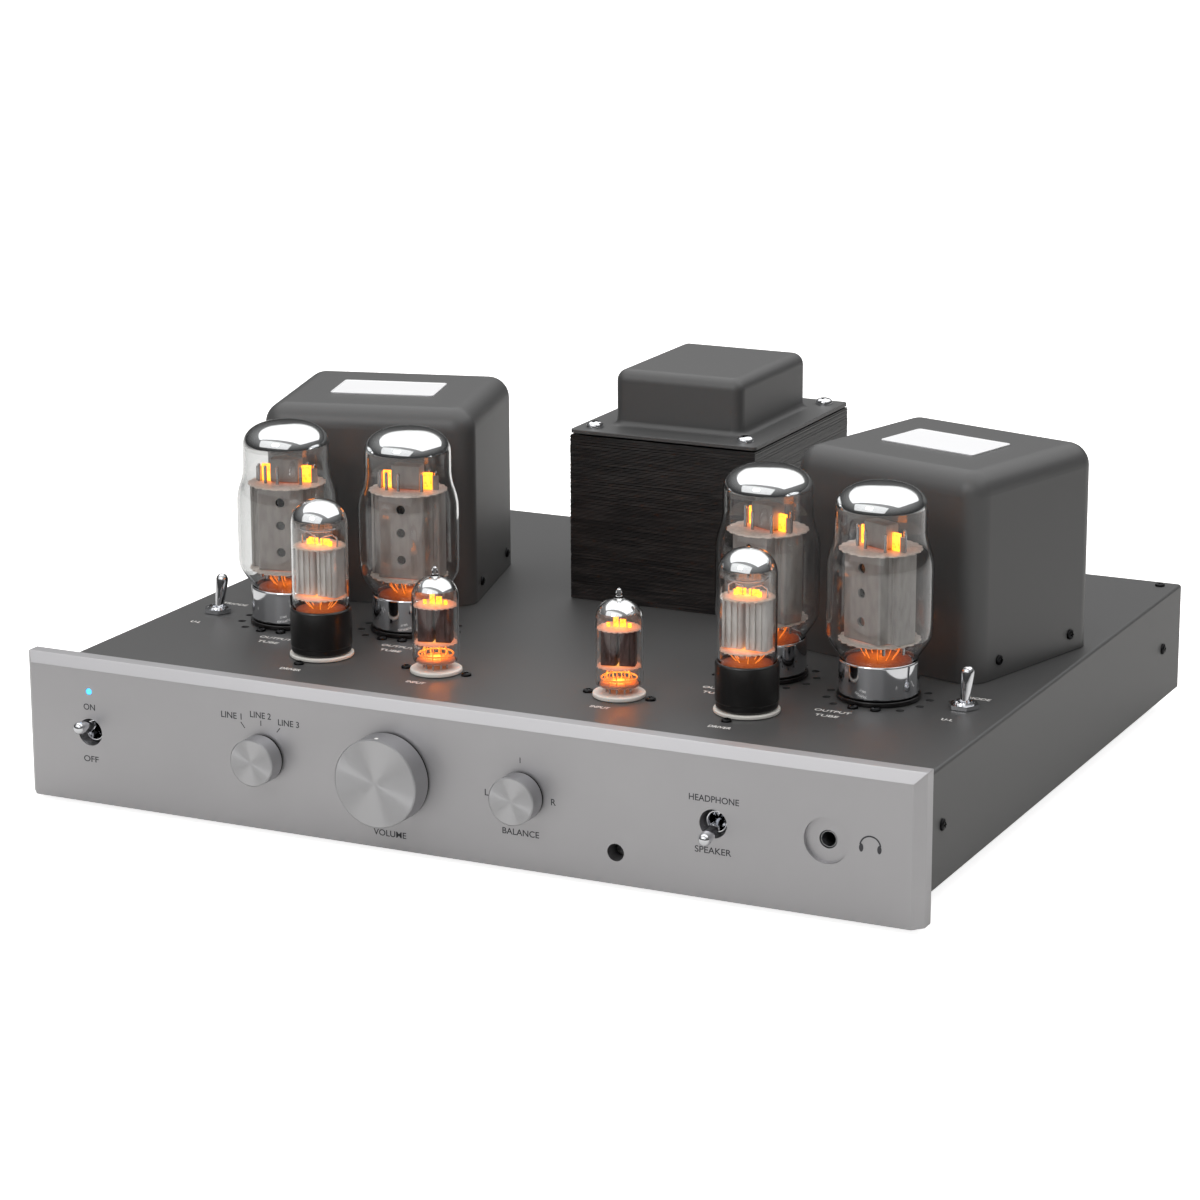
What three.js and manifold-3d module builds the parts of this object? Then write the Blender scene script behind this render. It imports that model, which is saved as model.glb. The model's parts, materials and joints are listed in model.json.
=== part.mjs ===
// Integrated tube amplifier: a steel chassis behind a thick aluminium front panel,
// eight tubes, three transformers and their controls. Millimetres, +Z up, feet on Z = 0.
import * as THREE from 'three';
import { mergeVertices } from 'three/addons/utils/BufferGeometryUtils.js';
import Module from 'manifold-3d';

const wasm = await Module();
wasm.setup();

// Driving dimensions
const GAP = 0.3;              // clearance between touching pieces
const PANEL_WIDTH = 457.2;    // 18 inches
const PANEL_HEIGHT = 70;
const PANEL_THICKNESS = 12;
const PANEL_BEVEL = 4.4;      // seen from the front, on the top and side edges
const PANEL_BEVEL_DEPTH = 5;
const PANEL_LIFT = 3;         // panel's lower edge above the table
const CHASSIS_WIDTH = 443;
const CHASSIS_DEPTH = 374;
const CHASSIS_LOW = PANEL_LIFT + 7.6;
const CHASSIS_TOP = PANEL_LIFT + 62.1;
const SHEET = 1.6;            // chassis steel
const FRONT_REACH = 13.6;     // volume knob's face in front of the panel
const REAR_REACH = 400;       // speaker posts' ends behind the panel's face
const PANEL_FACE_Y = (FRONT_REACH - REAR_REACH) / 2;
const SEAT_Y = PANEL_THICKNESS + GAP;          // chassis and controls start here, behind the panel's face
const REAR_Y = SEAT_Y + CHASSIS_DEPTH;
const CONTROL_Z = PANEL_LIFT + PANEL_HEIGHT / 2;

const SWITCH_X = { power: -192, headphone: 131 };
const SELECTOR_X = -97.5;
const VOLUME_X = -30.6;
const BALANCE_X = 36.8;
const SENSOR = { x: 83.7, z: PANEL_LIFT + 15, radius: 4.1 };
const LED = { x: SWITCH_X.power, z: PANEL_LIFT + 55, radius: 1.6 };
const JACK = { x: 184.5, dish: 10.6, dishDepth: 2.2, hole: 4.2, sleeve: 3.85, bore: 3.3 };
const SWITCH_HOLE = 6.6;
const SPINDLE_HOLE = 5;
const MODE_SWITCH = { x: 198.8, y: 127.9 };
const THROW = THREE.MathUtils.degToRad(13);    // lever's lean to each side
const LEVER = 20;             // pivot to the centre of the round tip

// Tube kinds: places from the centre line and the panel's face, heights from the chassis top
const POWER_TUBES = [[-157, 128], [-95.6, 140], [95.6, 140], [157, 128]];
const DRIVER_TUBES = [[-111.5, 80.5], [111.5, 80.5]];
const INPUT_TUBES = [[-48, 78.4], [48, 78.4]];

const COVER = { x: 151.7, y: 223, width: 108.5, depth: 99, height: 100.4, round: 11, wall: 1.5 };
COVER.turn = THREE.MathUtils.degToRad(15);
const CORE = { y: 287.5, width: 101.6, depth: 120, height: 85.6 };
const COIL = { width: 63, depth: 75, drop: 18, rise: 26 };
const BELL = { width: 70, depth: 84, height: 28.5, flange: 1.8, round: 6, wall: 1.4 };

const material = (color, roughness, metalness) =>
  new THREE.MeshStandardMaterial({ color, roughness, metalness });
const MATERIAL = {
  panel: material(0xa9a9ac, 0.45, 0.9),
  knob: material(0xc4c4c6, 0.3, 1),
  black: material(0x1d1d1e, 0.55, 0.3),
  laminations: material(0x151515, 0.6, 0.5),
  chrome: material(0xdadada, 0.08, 1),
  glass: new THREE.MeshStandardMaterial({
    color: 0xf2f2f2, roughness: 0.03, metalness: 0, transparent: true, opacity: 0.35,
  }),
  phenolic: material(0x121212, 0.4, 0),
  electrodes: material(0x8f8f90, 0.5, 0.8),
  ceramic: material(0xe9e4d8, 0.4, 0),
  plastic: material(0x151515, 0.45, 0),
  rubber: material(0x101010, 0.9, 0),
  led: material(0x49b7ff, 0.2, 0),
};

// ---- solid helpers --------------------------------------------------------------------

// One closed shell with shared vertices and no zero-area triangles at a lathe's axis.
function weld(geometry) {
  geometry.deleteAttribute('normal');
  geometry.deleteAttribute('uv');
  const merged = mergeVertices(geometry, 1e-4);
  const index = Array.from(merged.index.array);
  const kept = [];
  for (let i = 0; i < index.length; i += 3) {
    const [a, b, c] = index.slice(i, i + 3);
    if (a !== b && b !== c && c !== a) kept.push(a, b, c);
  }
  merged.setIndex(kept);
  return merged;
}

function toSolid(geometry) {
  const welded = weld(geometry);
  return new wasm.Manifold(new wasm.Mesh({
    numProp: 3,
    vertProperties: Float32Array.from(welded.attributes.position.array),
    triVerts: Uint32Array.from(welded.index.array),
  }));
}

function toGeometry(solid) {
  const mesh = solid.getMesh();
  const geometry = new THREE.BufferGeometry();
  geometry.setAttribute('position', new THREE.BufferAttribute(mesh.vertProperties, 3));
  geometry.setIndex(new THREE.BufferAttribute(mesh.triVerts, 1));
  return geometry;
}

function cut(base, tools) {
  return toGeometry(tools.reduce((solid, tool) => solid.subtract(toSolid(tool)), toSolid(base)));
}

function join(pieces) {
  const [first, ...rest] = pieces.map(toSolid);
  return toGeometry(rest.reduce((solid, piece) => solid.add(piece), first));
}

function box(x0, x1, y0, y1, z0, z1) {
  return new THREE.BoxGeometry(x1 - x0, y1 - y0, z1 - z0)
    .translate((x0 + x1) / 2, (y0 + y1) / 2, (z0 + z1) / 2);
}

// Turned solid about Z: profile of [radius, height] pairs, listed upwards on the outside.
function turned(profile, segments) {
  const points = profile.map(([r, z]) => new THREE.Vector2(r, z));
  return new THREE.LatheGeometry(points, segments).rotateX(Math.PI / 2);
}

function rod(radius, z0, z1, segments = 16) {
  return turned([[0, z0], [radius, z0], [radius, z1], [0, z1]], segments);
}

// The same rod lying along Y, for what passes through the front or rear wall.
function rodY(x, z, radius, y0, y1, segments = 16) {
  return rod(radius, -y1, -y0, segments).rotateX(Math.PI / 2).translate(x, 0, z);
}

// Closed skin over a stack of rings that all have the same number of points.
function loft(rings) {
  const count = rings[0].length;
  const faces = [];
  for (let k = 0; k < rings.length - 1; k += 1) {
    for (let i = 0; i < count; i += 1) {
      const a = k * count + i;
      const b = k * count + (i + 1) % count;
      faces.push(a, b, b + count, a, b + count, a + count);
    }
  }
  const last = (rings.length - 1) * count;
  for (let i = 1; i < count - 1; i += 1) {
    faces.push(0, i + 1, i);
    faces.push(last, last + i, last + i + 1);
  }
  const geometry = new THREE.BufferGeometry();
  geometry.setAttribute('position', new THREE.Float32BufferAttribute(rings.flat(2), 3));
  geometry.setIndex(faces);
  return geometry;
}

// Rounded rectangle at height z, anticlockwise from above.
function roundedRing(halfX, halfY, radius, z, steps = 3) {
  const ring = [];
  const corners = [[1, 1, 0], [-1, 1, 1], [-1, -1, 2], [1, -1, 3]];
  for (const [sx, sy, quarter] of corners) {
    for (let i = 0; i <= steps; i += 1) {
      const angle = (quarter + i / steps) * Math.PI / 2;
      ring.push([
        sx * (halfX - radius) + radius * Math.cos(angle),
        sy * (halfY - radius) + radius * Math.sin(angle),
        z,
      ]);
    }
  }
  return ring;
}

// Deep-drawn can: upright walls and a top edge rounded like its corners.
function can(width, depth, top, round, z0, steps = 3) {
  const rings = [roundedRing(width / 2, depth / 2, round, z0, steps)];
  for (let i = 0; i <= steps; i += 1) {
    const angle = (i / steps) * Math.PI / 2;
    const inset = round * (1 - Math.cos(angle)) * 0.98;
    const z = top - round + round * Math.sin(angle);
    rings.push(roundedRing(width / 2 - inset, depth / 2 - inset, round - inset, z, steps));
  }
  return loft(rings);
}

// ---- casing ---------------------------------------------------------------------------

const tubePlaces = [...POWER_TUBES, ...DRIVER_TUBES, ...INPUT_TUBES];
const socketHole = (i) => (i < 4 ? 16.2 : i < 6 ? 13.4 : 10.6);

// Deck plate that the tubes, transformers and mode switches stand on.
function chassisTop() {
  const half = CHASSIS_WIDTH / 2;
  const plate = box(-half, half, SEAT_Y, REAR_Y, CHASSIS_TOP - SHEET, CHASSIS_TOP);
  const hole = (x, y, radius, segments) => (
    rod(radius, CHASSIS_TOP - 5, CHASSIS_TOP + 5, segments).translate(x, y, 0));
  const tools = tubePlaces.map(([x, y], i) => hole(x, y, socketHole(i), 14));
  for (const side of [-1, 1]) {
    tools.push(hole(side * MODE_SWITCH.x, MODE_SWITCH.y, 5.5, 12));
    tools.push(hole(side * COVER.x, COVER.y, 8, 12));
  }
  tools.push(box(-36, 36, CORE.y - 41, CORE.y + 41, CHASSIS_TOP - 5, CHASSIS_TOP + 5));
  return cut(plate, tools);
}

// Side plate under the deck plate's edge; side is -1 for the left and 1 for the right.
function chassisSide(side) {
  const outside = side * CHASSIS_WIDTH / 2;
  const inside = side * (CHASSIS_WIDTH / 2 - SHEET);
  return box(
    Math.min(outside, inside), Math.max(outside, inside), SEAT_Y, REAR_Y, CHASSIS_LOW, CHASSIS_TOP - SHEET - GAP,
  );
}

// Rear plate between the side plates, cut out for the connectors.
function chassisRear() {
  const half = CHASSIS_WIDTH / 2 - SHEET - GAP;
  const plate = box(-half, half, REAR_Y - SHEET, REAR_Y, CHASSIS_LOW, CHASSIS_TOP - SHEET - GAP);
  const slot = (x, z, w, h) => box(x - w / 2, x + w / 2, REAR_Y - 5, REAR_Y + 5, z - h / 2, z + h / 2);
  return cut(plate, [
    slot(INLET.x, INLET.z, INLET.width + 1, INLET.height + 1),
    slot(0, POSTS.z, POSTS.width - 8, POSTS.height - 8),
    slot(INPUTS.x, INPUTS.z, INPUTS.width - 8, INPUTS.height - 8),
  ]);
}

function bottomCover() {
  const half = CHASSIS_WIDTH / 2 - SHEET - GAP;
  const front = SEAT_Y;
  const rear = REAR_Y - SHEET - GAP;
  const plate = box(-half, half, front, rear, CHASSIS_LOW, CHASSIS_LOW + SHEET);
  const vents = [];
  for (let i = -3; i <= 3; i += 1) {
    vents.push(box(i * 40 - 12, i * 40 + 12, 190, 194, CHASSIS_LOW - 1, CHASSIS_LOW + 3));
  }
  return cut(plate, vents);
}

function frontPanel() {
  const half = PANEL_WIDTH / 2;
  const low = PANEL_LIFT;
  const high = PANEL_LIFT + PANEL_HEIGHT;
  const ring = (y, inset) => [
    [-half + inset, y, low], [-half + inset, y, high - inset], [half - inset, y, high - inset], [half - inset, y, low],
  ];
  const blank = loft([ring(0, PANEL_BEVEL), ring(PANEL_BEVEL_DEPTH, 0), ring(PANEL_THICKNESS, 0)]);
  const through = (x, z, radius, segments) => rodY(x, z, radius, -5, PANEL_THICKNESS + 5, segments);
  return cut(blank, [
    through(SWITCH_X.power, CONTROL_Z, SWITCH_HOLE, 24),
    through(SWITCH_X.headphone, CONTROL_Z, SWITCH_HOLE, 24),
    through(SELECTOR_X, CONTROL_Z, SPINDLE_HOLE, 12),
    through(VOLUME_X, CONTROL_Z, SPINDLE_HOLE, 12),
    through(BALANCE_X, CONTROL_Z, SPINDLE_HOLE, 12),
    through(SENSOR.x, SENSOR.z, SENSOR.radius, 20),
    through(LED.x, LED.z, LED.radius, 12),
    through(JACK.x, CONTROL_Z, JACK.hole, 20),
    rodY(JACK.x, CONTROL_Z, JACK.dish, -5, JACK.dishDepth, 32),
  ]);
}

function foot() {
  const top = CHASSIS_LOW - GAP;
  return turned([[0, 0], [11, 0], [13, 2], [14, top], [0, top]], 16);
}

// ---- transformers ---------------------------------------------------------------------

// Lamination stack and the coil that fills its windows, standing out above and below, as one solid.
function transformerCore() {
  const { width, depth, height } = CORE;
  const stack = box(-width / 2, width / 2, -depth / 2, depth / 2, GAP, height);
  const halfX = COIL.width / 2;
  const halfY = COIL.depth / 2;
  return join([stack, box(-halfX, halfX, -halfY, halfY, -COIL.drop, height + COIL.rise)]);
}

// Drawn end bell: a flange the size of the core, a small flare, then the can.
function transformerBell() {
  const base = CORE.height + GAP;
  const top = base + BELL.flange + BELL.height;
  const flange = box(-CORE.width / 2, CORE.width / 2, -CORE.depth / 2, CORE.depth / 2, base, base + BELL.flange);
  const flare = loft([
    roundedRing(BELL.width / 2 + 3, BELL.depth / 2 + 3, BELL.round + 3, base + 0.5),
    roundedRing(BELL.width / 2 + 3, BELL.depth / 2 + 3, BELL.round + 3, base + BELL.flange + 0.3),
    roundedRing(BELL.width / 2, BELL.depth / 2, BELL.round, base + BELL.flange + 3),
    roundedRing(BELL.width / 2 - 2, BELL.depth / 2 - 2, BELL.round - 2, base + BELL.flange + 3.5),
  ]);
  const outside = can(BELL.width, BELL.depth, top, BELL.round, base + 0.5);
  const inner = 2 * BELL.wall;
  const inside = can(BELL.width - inner, BELL.depth - inner, top - BELL.wall, BELL.round - BELL.wall, base - 1);
  return cut(join([flange, flare, outside]), [inside]);
}

function outputCover() {
  const { width, depth, height, round, wall } = COVER;
  const outside = can(width, depth, height, round, GAP);
  const inside = can(width - 2 * wall, depth - 2 * wall, height - wall, round - wall, -1);
  return cut(outside, [inside]);
}

// Core, coils and potting pitch set as one block that fills the can.
function outputTransformer() {
  const { width, depth, height, round, wall } = COVER;
  const inset = 2 * (wall + GAP);
  return can(width - inset, depth - inset, height - wall - GAP, round - wall - GAP, GAP);
}

// ---- tubes ----------------------------------------------------------------------------

// Glass bulb: the outside profile upwards from its open foot, then the inside back down.
function envelope(profile, wall, segments) {
  const inside = profile.slice(0, -1).map(([r, z], i) => [r - wall, i === 0 ? z : z - wall * (i > 2)]);
  const [, apex] = profile[profile.length - 1];
  const section = [...profile, [0, apex - wall], ...inside.reverse(), profile[0]];
  return cutAxis(section, segments);
}

// A shell of revolution whose section touches the axis twice, made as outside less inside.
function cutAxis(section, segments) {
  const split = section.findIndex(([r]) => r === 0);
  const outer = section.slice(0, split + 1);
  const inner = section.slice(split + 1, -1).reverse();
  const foot = outer[0][1];
  const outside = turned([[0, foot], ...outer], segments);
  const inside = turned([[0, foot - 1], [inner[0][0], foot - 1], ...inner], segments);
  return cut(outside, [inside]);
}

const POWER_BULB = [
  [17.6, 19.4], [24.7, 31], [24.7, 66.5], [21.3, 75.5], [21.3, 91], [16.4, 99.6], [0, 101.7],
];
const DRIVER_BULB = [
  [13.2, 24.6], [13.7, 27], [13.7, 66], [10.8, 74.2], [0, 77],
];
const INPUT_BULB = [
  [10.6, 5.4], [11.2, 7.4], [11.2, 38.6], [8.6, 44], [1.3, 46.6], [0, 51.6],
];

// Metal-banded base with the electrode stack between its two mica discs standing on it.
function powerTubeBase() {
  return turned([
    [0, 2.9], [18.8, 2.9], [18.8, 19.1], [4, 19.1], [4, 27.4], [18, 27.4], [18, 71.4], [4, 71.4],
    [4, 88], [0, 88],
  ], 16);
}

function driverTubeBase() {
  return turned([
    [0, 2.4], [14.8, 2.4], [14.8, 24.3], [4, 24.3], [4, 31], [11.5, 31], [11.5, 55.4], [3, 55.4], [3, 66], [0, 66],
  ], 14);
}

function inputTubeStem() {
  return turned([
    [0, 2.7], [8.6, 2.7], [8.6, 8], [3, 8], [3, 14], [8, 14], [8, 32.5], [2, 32.5], [2, 38], [0, 38],
  ], 12);
}

// Socket: a flange on the chassis top and a contact body through its hole.
function socket(flange, height, body, drop) {
  return turned([
    [0, -drop], [body, -drop], [body, GAP], [flange, GAP], [flange, height], [0, height],
  ], 16);
}

// ---- controls -------------------------------------------------------------------------

// Toggle switch, its lever pivot at the origin and +Z out of the bushing. seat is the height
// of the case's top, which the sheet rests on.
function toggleCase(seat, nut) {
  const pieces = [box(-6.5, 6.5, -14, 14, seat - 18, seat), rod(5.2, seat - 1, 6.9, 14)];
  if (nut) pieces.push(rod(7.4, nut, nut + 2, 6));
  const socketCut = turned([[0, -3.2], [2.9, -3.2], [2.9, 0.6], [4.4, 7.5], [0, 7.5]], 14);
  return cut(join(pieces), [socketCut]);
}

function toggleLever() {
  return turned([
    [0, -2.3], [2.2, 0], [1.8, 2.2], [2.1, 6], [3, LEVER - 1], [2.6, LEVER + 1.6], [0, LEVER + 3],
  ], 12);
}

// Spun knob with its spindle, axis along Y; the face looks towards -Y.
function knob(radius, reach) {
  return turned([
    [0, -22], [3, -22], [3, 0.9], [radius, 0.9], [radius, reach - 0.5], [radius - 0.5, reach], [0, reach],
  ], 30).rotateX(Math.PI / 2);
}

// Potentiometer or rotary switch behind the panel, with a bushing the spindle turns in.
function rotaryControl(radius, length) {
  const body = rodY(0, 0, radius, SEAT_Y, SEAT_Y + length, 20);
  const bushing = rodY(0, 0, 4.6, 4, SEAT_Y + 1, 16);
  const bore = rodY(0, 0, 3.3, 0, 23, 16);
  return cut(join([body, bushing]), [bore]);
}

function headphoneJack() {
  const sleeve = rodY(0, 0, JACK.sleeve, JACK.dishDepth + 0.4, SEAT_Y + 1, 20);
  const body = box(-8, 8, SEAT_Y, SEAT_Y + 28, -9, 9);
  return cut(join([sleeve, body]), [rodY(0, 0, JACK.bore, -5, SEAT_Y + 26, 16)]);
}

function powerLed() {
  return rodY(0, 0, LED.radius - 0.25, 0.2, SEAT_Y + 8, 10);
}

function remoteSensor() {
  return rodY(0, 0, SENSOR.radius - GAP, 6.5, SEAT_Y + 10, 16);
}

// ---- rear connectors ------------------------------------------------------------------

const INLET = { x: -170, z: CHASSIS_LOW + 26, width: 27, height: 34, depth: 22 };
const POSTS = { z: CHASSIS_LOW + 26, width: 190, height: 30 };
const INPUTS = { x: 160, z: CHASSIS_LOW + 26, width: 84, height: 40 };
const PLATE = 1.6;

// Appliance inlet with three blades and a fuse drawer above it.
function mainsInlet() {
  const y0 = REAR_Y + GAP;
  const flange = box(-20, 20, y0, y0 + 3, -20, 20);
  const body = box(-INLET.width / 2, INLET.width / 2, y0 - INLET.depth, y0 + 1, -INLET.height / 2, INLET.height / 2);
  const recess = box(-12, 12, y0 - INLET.depth + 3, y0 + 5, -15, 3);
  const blades = [-7, 0, 7].map((x) => box(x - 1, x + 1, y0 - INLET.depth + 1, y0 - 3, x ? -9 : -5, x ? -5 : -1));
  const drawer = box(-10, 10, y0 + 2, y0 + 5, 6, 16);
  return join([cut(join([flange, body]), [recess]), ...blades, drawer]);
}

// Plate with four binding posts for each of the two loudspeakers.
function speakerTerminals() {
  const y0 = REAR_Y + GAP;
  const plate = box(-POSTS.width / 2, POSTS.width / 2, y0, y0 + PLATE, -POSTS.height / 2, POSTS.height / 2);
  const posts = [-1, 1].flatMap((side) => [25, 42, 59, 76].map((x) => (
    rodY(side * x, 0, 5.5, y0 - 8, REAR_REACH, 8))));
  return join([plate, ...posts]);
}

// Plate with two rows of four phono sockets.
function inputJacks() {
  const y0 = REAR_Y + GAP;
  const plate = box(-INPUTS.width / 2, INPUTS.width / 2, y0, y0 + PLATE, -INPUTS.height / 2, INPUTS.height / 2);
  const shells = [-9, 9].flatMap((z) => [-30, -10, 10, 30].map((x) => rodY(x, z, 4.2, y0 - 8, y0 + 10, 8)));
  return join([plate, ...shells]);
}

// ---- assembly -------------------------------------------------------------------------

const amplifier = new THREE.Group();
amplifier.position.set(0, PANEL_FACE_Y, 0);
const deck = new THREE.Group();
deck.position.set(0, 0, CHASSIS_TOP);
amplifier.add(deck);

function add(parent, name, geometry, look, place = [0, 0, 0]) {
  const mesh = new THREE.Mesh(weld(geometry), look);
  mesh.name = name;
  mesh.position.set(...place);
  parent.add(mesh);
  return mesh;
}

add(amplifier, 'chassis_top', chassisTop(), MATERIAL.black);
add(amplifier, 'chassis_side_left', chassisSide(-1), MATERIAL.black);
add(amplifier, 'chassis_side_right', chassisSide(1), MATERIAL.black);
add(amplifier, 'chassis_rear', chassisRear(), MATERIAL.black);
add(amplifier, 'bottom_cover', bottomCover(), MATERIAL.black);
add(amplifier, 'front_panel', frontPanel(), MATERIAL.panel);
for (const [sideName, side] of [['left', -1], ['right', 1]]) {
  for (const [endName, y] of [['front', 52], ['rear', 346]]) {
    add(amplifier, `foot_${endName}_${sideName}`, foot(), MATERIAL.rubber, [side * 185, y, 0]);
  }
}

add(deck, 'power_transformer_core', transformerCore(), MATERIAL.laminations, [0, CORE.y, 0]);
add(deck, 'power_transformer_bell', transformerBell(), MATERIAL.black, [0, CORE.y, 0]);
for (const [sideName, side] of [['left', -1], ['right', 1]]) {
  const place = [side * COVER.x, COVER.y, 0];
  add(deck, `output_transformer_${sideName}`, outputTransformer(), MATERIAL.laminations, place)
    .rotation.z = -side * COVER.turn;
  add(deck, `output_transformer_cover_${sideName}`, outputCover(), MATERIAL.black, place)
    .rotation.z = -side * COVER.turn;
}

POWER_TUBES.forEach(([x, y], i) => {
  const place = [x, y, 0];
  add(deck, `power_tube_${i + 1}_socket`, socket(19.6, 2.5, 15.6, 14), MATERIAL.phenolic, place);
  add(deck, `power_tube_${i + 1}_base`, powerTubeBase(), MATERIAL.chrome, place);
  add(deck, `power_tube_${i + 1}_envelope`, envelope(POWER_BULB, 1.1, 18), MATERIAL.glass, place);
});
DRIVER_TUBES.forEach(([x, y], i) => {
  const place = [x, y, 0];
  add(deck, `driver_tube_${i + 1}_socket`, socket(15.4, 2, 13, 12), MATERIAL.ceramic, place);
  add(deck, `driver_tube_${i + 1}_base`, driverTubeBase(), MATERIAL.phenolic, place);
  add(deck, `driver_tube_${i + 1}_envelope`, envelope(DRIVER_BULB, 0.9, 14), MATERIAL.glass, place);
});
INPUT_TUBES.forEach(([x, y], i) => {
  const place = [x, y, 0];
  add(deck, `input_tube_${i + 1}_socket`, socket(12.4, 2.3, 10.2, 10), MATERIAL.ceramic, place);
  add(deck, `input_tube_${i + 1}_stem`, inputTubeStem(), MATERIAL.electrodes, place);
  add(deck, `input_tube_${i + 1}_envelope`, envelope(INPUT_BULB, 0.8, 12), MATERIAL.glass, place);
});

// Front switches: +Z of the switch turned to face forwards, pivot behind the panel's face.
const PIVOT_DEPTH = 10.8;
const FRONT_SEAT = PIVOT_DEPTH - SEAT_Y;
for (const [name, lean] of [['power', -1], ['headphone', 1]]) {
  const unit = new THREE.Group();
  unit.position.set(SWITCH_X[name], PIVOT_DEPTH, CONTROL_Z);
  unit.rotation.x = Math.PI / 2;
  amplifier.add(unit);
  add(unit, `${name}_switch_case`, toggleCase(FRONT_SEAT), MATERIAL.chrome);
  add(unit, `${name}_switch_lever`, toggleLever(), MATERIAL.chrome).rotation.x = lean * THROW;
}

// Mode switches stand through the chassis top and lean to the rear.
const PIVOT_DROP = 3.7;
const TOP_SEAT = PIVOT_DROP - SHEET - GAP;
for (const [sideName, side] of [['left', -1], ['right', 1]]) {
  const unit = new THREE.Group();
  unit.position.set(side * MODE_SWITCH.x, MODE_SWITCH.y, -PIVOT_DROP);
  deck.add(unit);
  add(unit, `mode_switch_${sideName}_case`, toggleCase(TOP_SEAT, PIVOT_DROP + GAP), MATERIAL.chrome);
  add(unit, `mode_switch_${sideName}_lever`, toggleLever(), MATERIAL.chrome).rotation.x = -THROW;
}

add(amplifier, 'selector_knob', knob(11.3, 10.5), MATERIAL.knob, [SELECTOR_X, 0, CONTROL_Z]);
add(amplifier, 'volume_knob', knob(21, FRONT_REACH), MATERIAL.knob, [VOLUME_X, 0, CONTROL_Z]);
add(amplifier, 'balance_knob', knob(11.3, 10.5), MATERIAL.knob, [BALANCE_X, 0, CONTROL_Z]);
add(amplifier, 'selector_switch', rotaryControl(15, 20), MATERIAL.plastic, [SELECTOR_X, 0, CONTROL_Z]);
add(amplifier, 'volume_potentiometer', rotaryControl(13.5, 24), MATERIAL.plastic, [VOLUME_X, 0, CONTROL_Z]);
add(amplifier, 'balance_potentiometer', rotaryControl(12, 18), MATERIAL.plastic, [BALANCE_X, 0, CONTROL_Z]);
add(amplifier, 'headphone_jack', headphoneJack(), MATERIAL.plastic, [JACK.x, 0, CONTROL_Z]);
add(amplifier, 'power_led', powerLed(), MATERIAL.led, [LED.x, 0, LED.z]);
add(amplifier, 'remote_sensor', remoteSensor(), MATERIAL.plastic, [SENSOR.x, 0, SENSOR.z]);

add(amplifier, 'mains_inlet', mainsInlet(), MATERIAL.plastic, [INLET.x, 0, INLET.z]);
add(amplifier, 'speaker_terminals', speakerTerminals(), MATERIAL.plastic, [0, 0, POSTS.z]);
add(amplifier, 'input_jacks', inputJacks(), MATERIAL.plastic, [INPUTS.x, 0, INPUTS.z]);

export default amplifier;
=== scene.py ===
"""Looks of an integrated tube amplifier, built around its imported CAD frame.

Lengths are millimetres in the row frame (+X right, +Y to the rear, +Z up) and become Blender's
metres where a mesh is made. Places and outer sizes come from the frame's nodes; each class adds
the fine sizes of its own pieces.
"""

from __future__ import annotations

import json
import logging
import math
import random
from collections.abc import Iterable, Sequence
from dataclasses import dataclass
from enum import Enum

import bmesh
import bpy
from mathutils import Matrix, Vector


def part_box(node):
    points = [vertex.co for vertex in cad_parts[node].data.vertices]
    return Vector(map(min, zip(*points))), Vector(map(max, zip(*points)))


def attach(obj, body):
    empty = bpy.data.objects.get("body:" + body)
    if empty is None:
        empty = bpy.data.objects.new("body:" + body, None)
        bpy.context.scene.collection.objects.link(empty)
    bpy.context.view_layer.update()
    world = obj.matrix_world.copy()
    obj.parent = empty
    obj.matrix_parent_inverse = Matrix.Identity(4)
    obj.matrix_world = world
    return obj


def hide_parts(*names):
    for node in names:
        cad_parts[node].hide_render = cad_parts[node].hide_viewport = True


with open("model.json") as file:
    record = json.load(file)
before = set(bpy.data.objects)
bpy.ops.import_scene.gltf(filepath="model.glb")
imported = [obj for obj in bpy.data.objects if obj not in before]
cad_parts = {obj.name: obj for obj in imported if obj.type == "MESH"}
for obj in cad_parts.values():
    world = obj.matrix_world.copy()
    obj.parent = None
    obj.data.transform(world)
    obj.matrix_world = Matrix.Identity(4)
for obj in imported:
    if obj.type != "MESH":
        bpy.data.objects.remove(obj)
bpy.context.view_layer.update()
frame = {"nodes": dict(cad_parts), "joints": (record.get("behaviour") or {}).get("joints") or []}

log = logging.getLogger("amplifier")

MM = 0.001
BODY = "amplifier_body"
HERE = Matrix.Identity(4)
Profile = Sequence[tuple[float, float]]
Place = Sequence[float]


# ---- node and colour helpers ------------------------------------------------------------


def srgb(code: str) -> tuple[float, float, float, float]:
    """Turn an sRGB hex colour to linear RGBA.

    Args:
        code: The colour as "#rrggbb".

    Returns:
        Linear red, green, blue and an alpha of 1.
    """
    shares = [int(code[i : i + 2], 16) / 255 for i in (1, 3, 5)]
    linear = [c / 12.92 if c <= 0.04045 else ((c + 0.055) / 1.055) ** 2.4 for c in shares]
    return (linear[0], linear[1], linear[2], 1.0)


def set_up(node: bpy.types.Node, settings: dict | None = None, links: dict | None = None) -> None:
    """Give a node its settings and links.

    Args:
        node: The node.
        settings: Values by socket name, socket number or property name.
        links: Output sockets by the name or number of the input that they feed.
    """
    for key, value in (settings or {}).items():
        if isinstance(key, int) or key in node.inputs:
            node.inputs[key].default_value = value
        else:
            setattr(node, key, value)
    for key, source in (links or {}).items():
        node.id_data.links.new(source, node.inputs[key])


def add_node(
    tree: bpy.types.NodeTree, kind: str, settings: dict | None = None, links: dict | None = None
) -> bpy.types.Node:
    """Add one node with its settings and links.

    Args:
        tree: The node tree.
        kind: The node's type name.
        settings: As for set_up.
        links: As for set_up.

    Returns:
        The new node.
    """
    node = tree.nodes.new(kind)
    set_up(node, settings, links)
    return node


def per_mm(size: float) -> float:
    """Scale of a texture in metres whose features are this many millimetres across."""
    return 1.0 / (size * MM)


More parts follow.
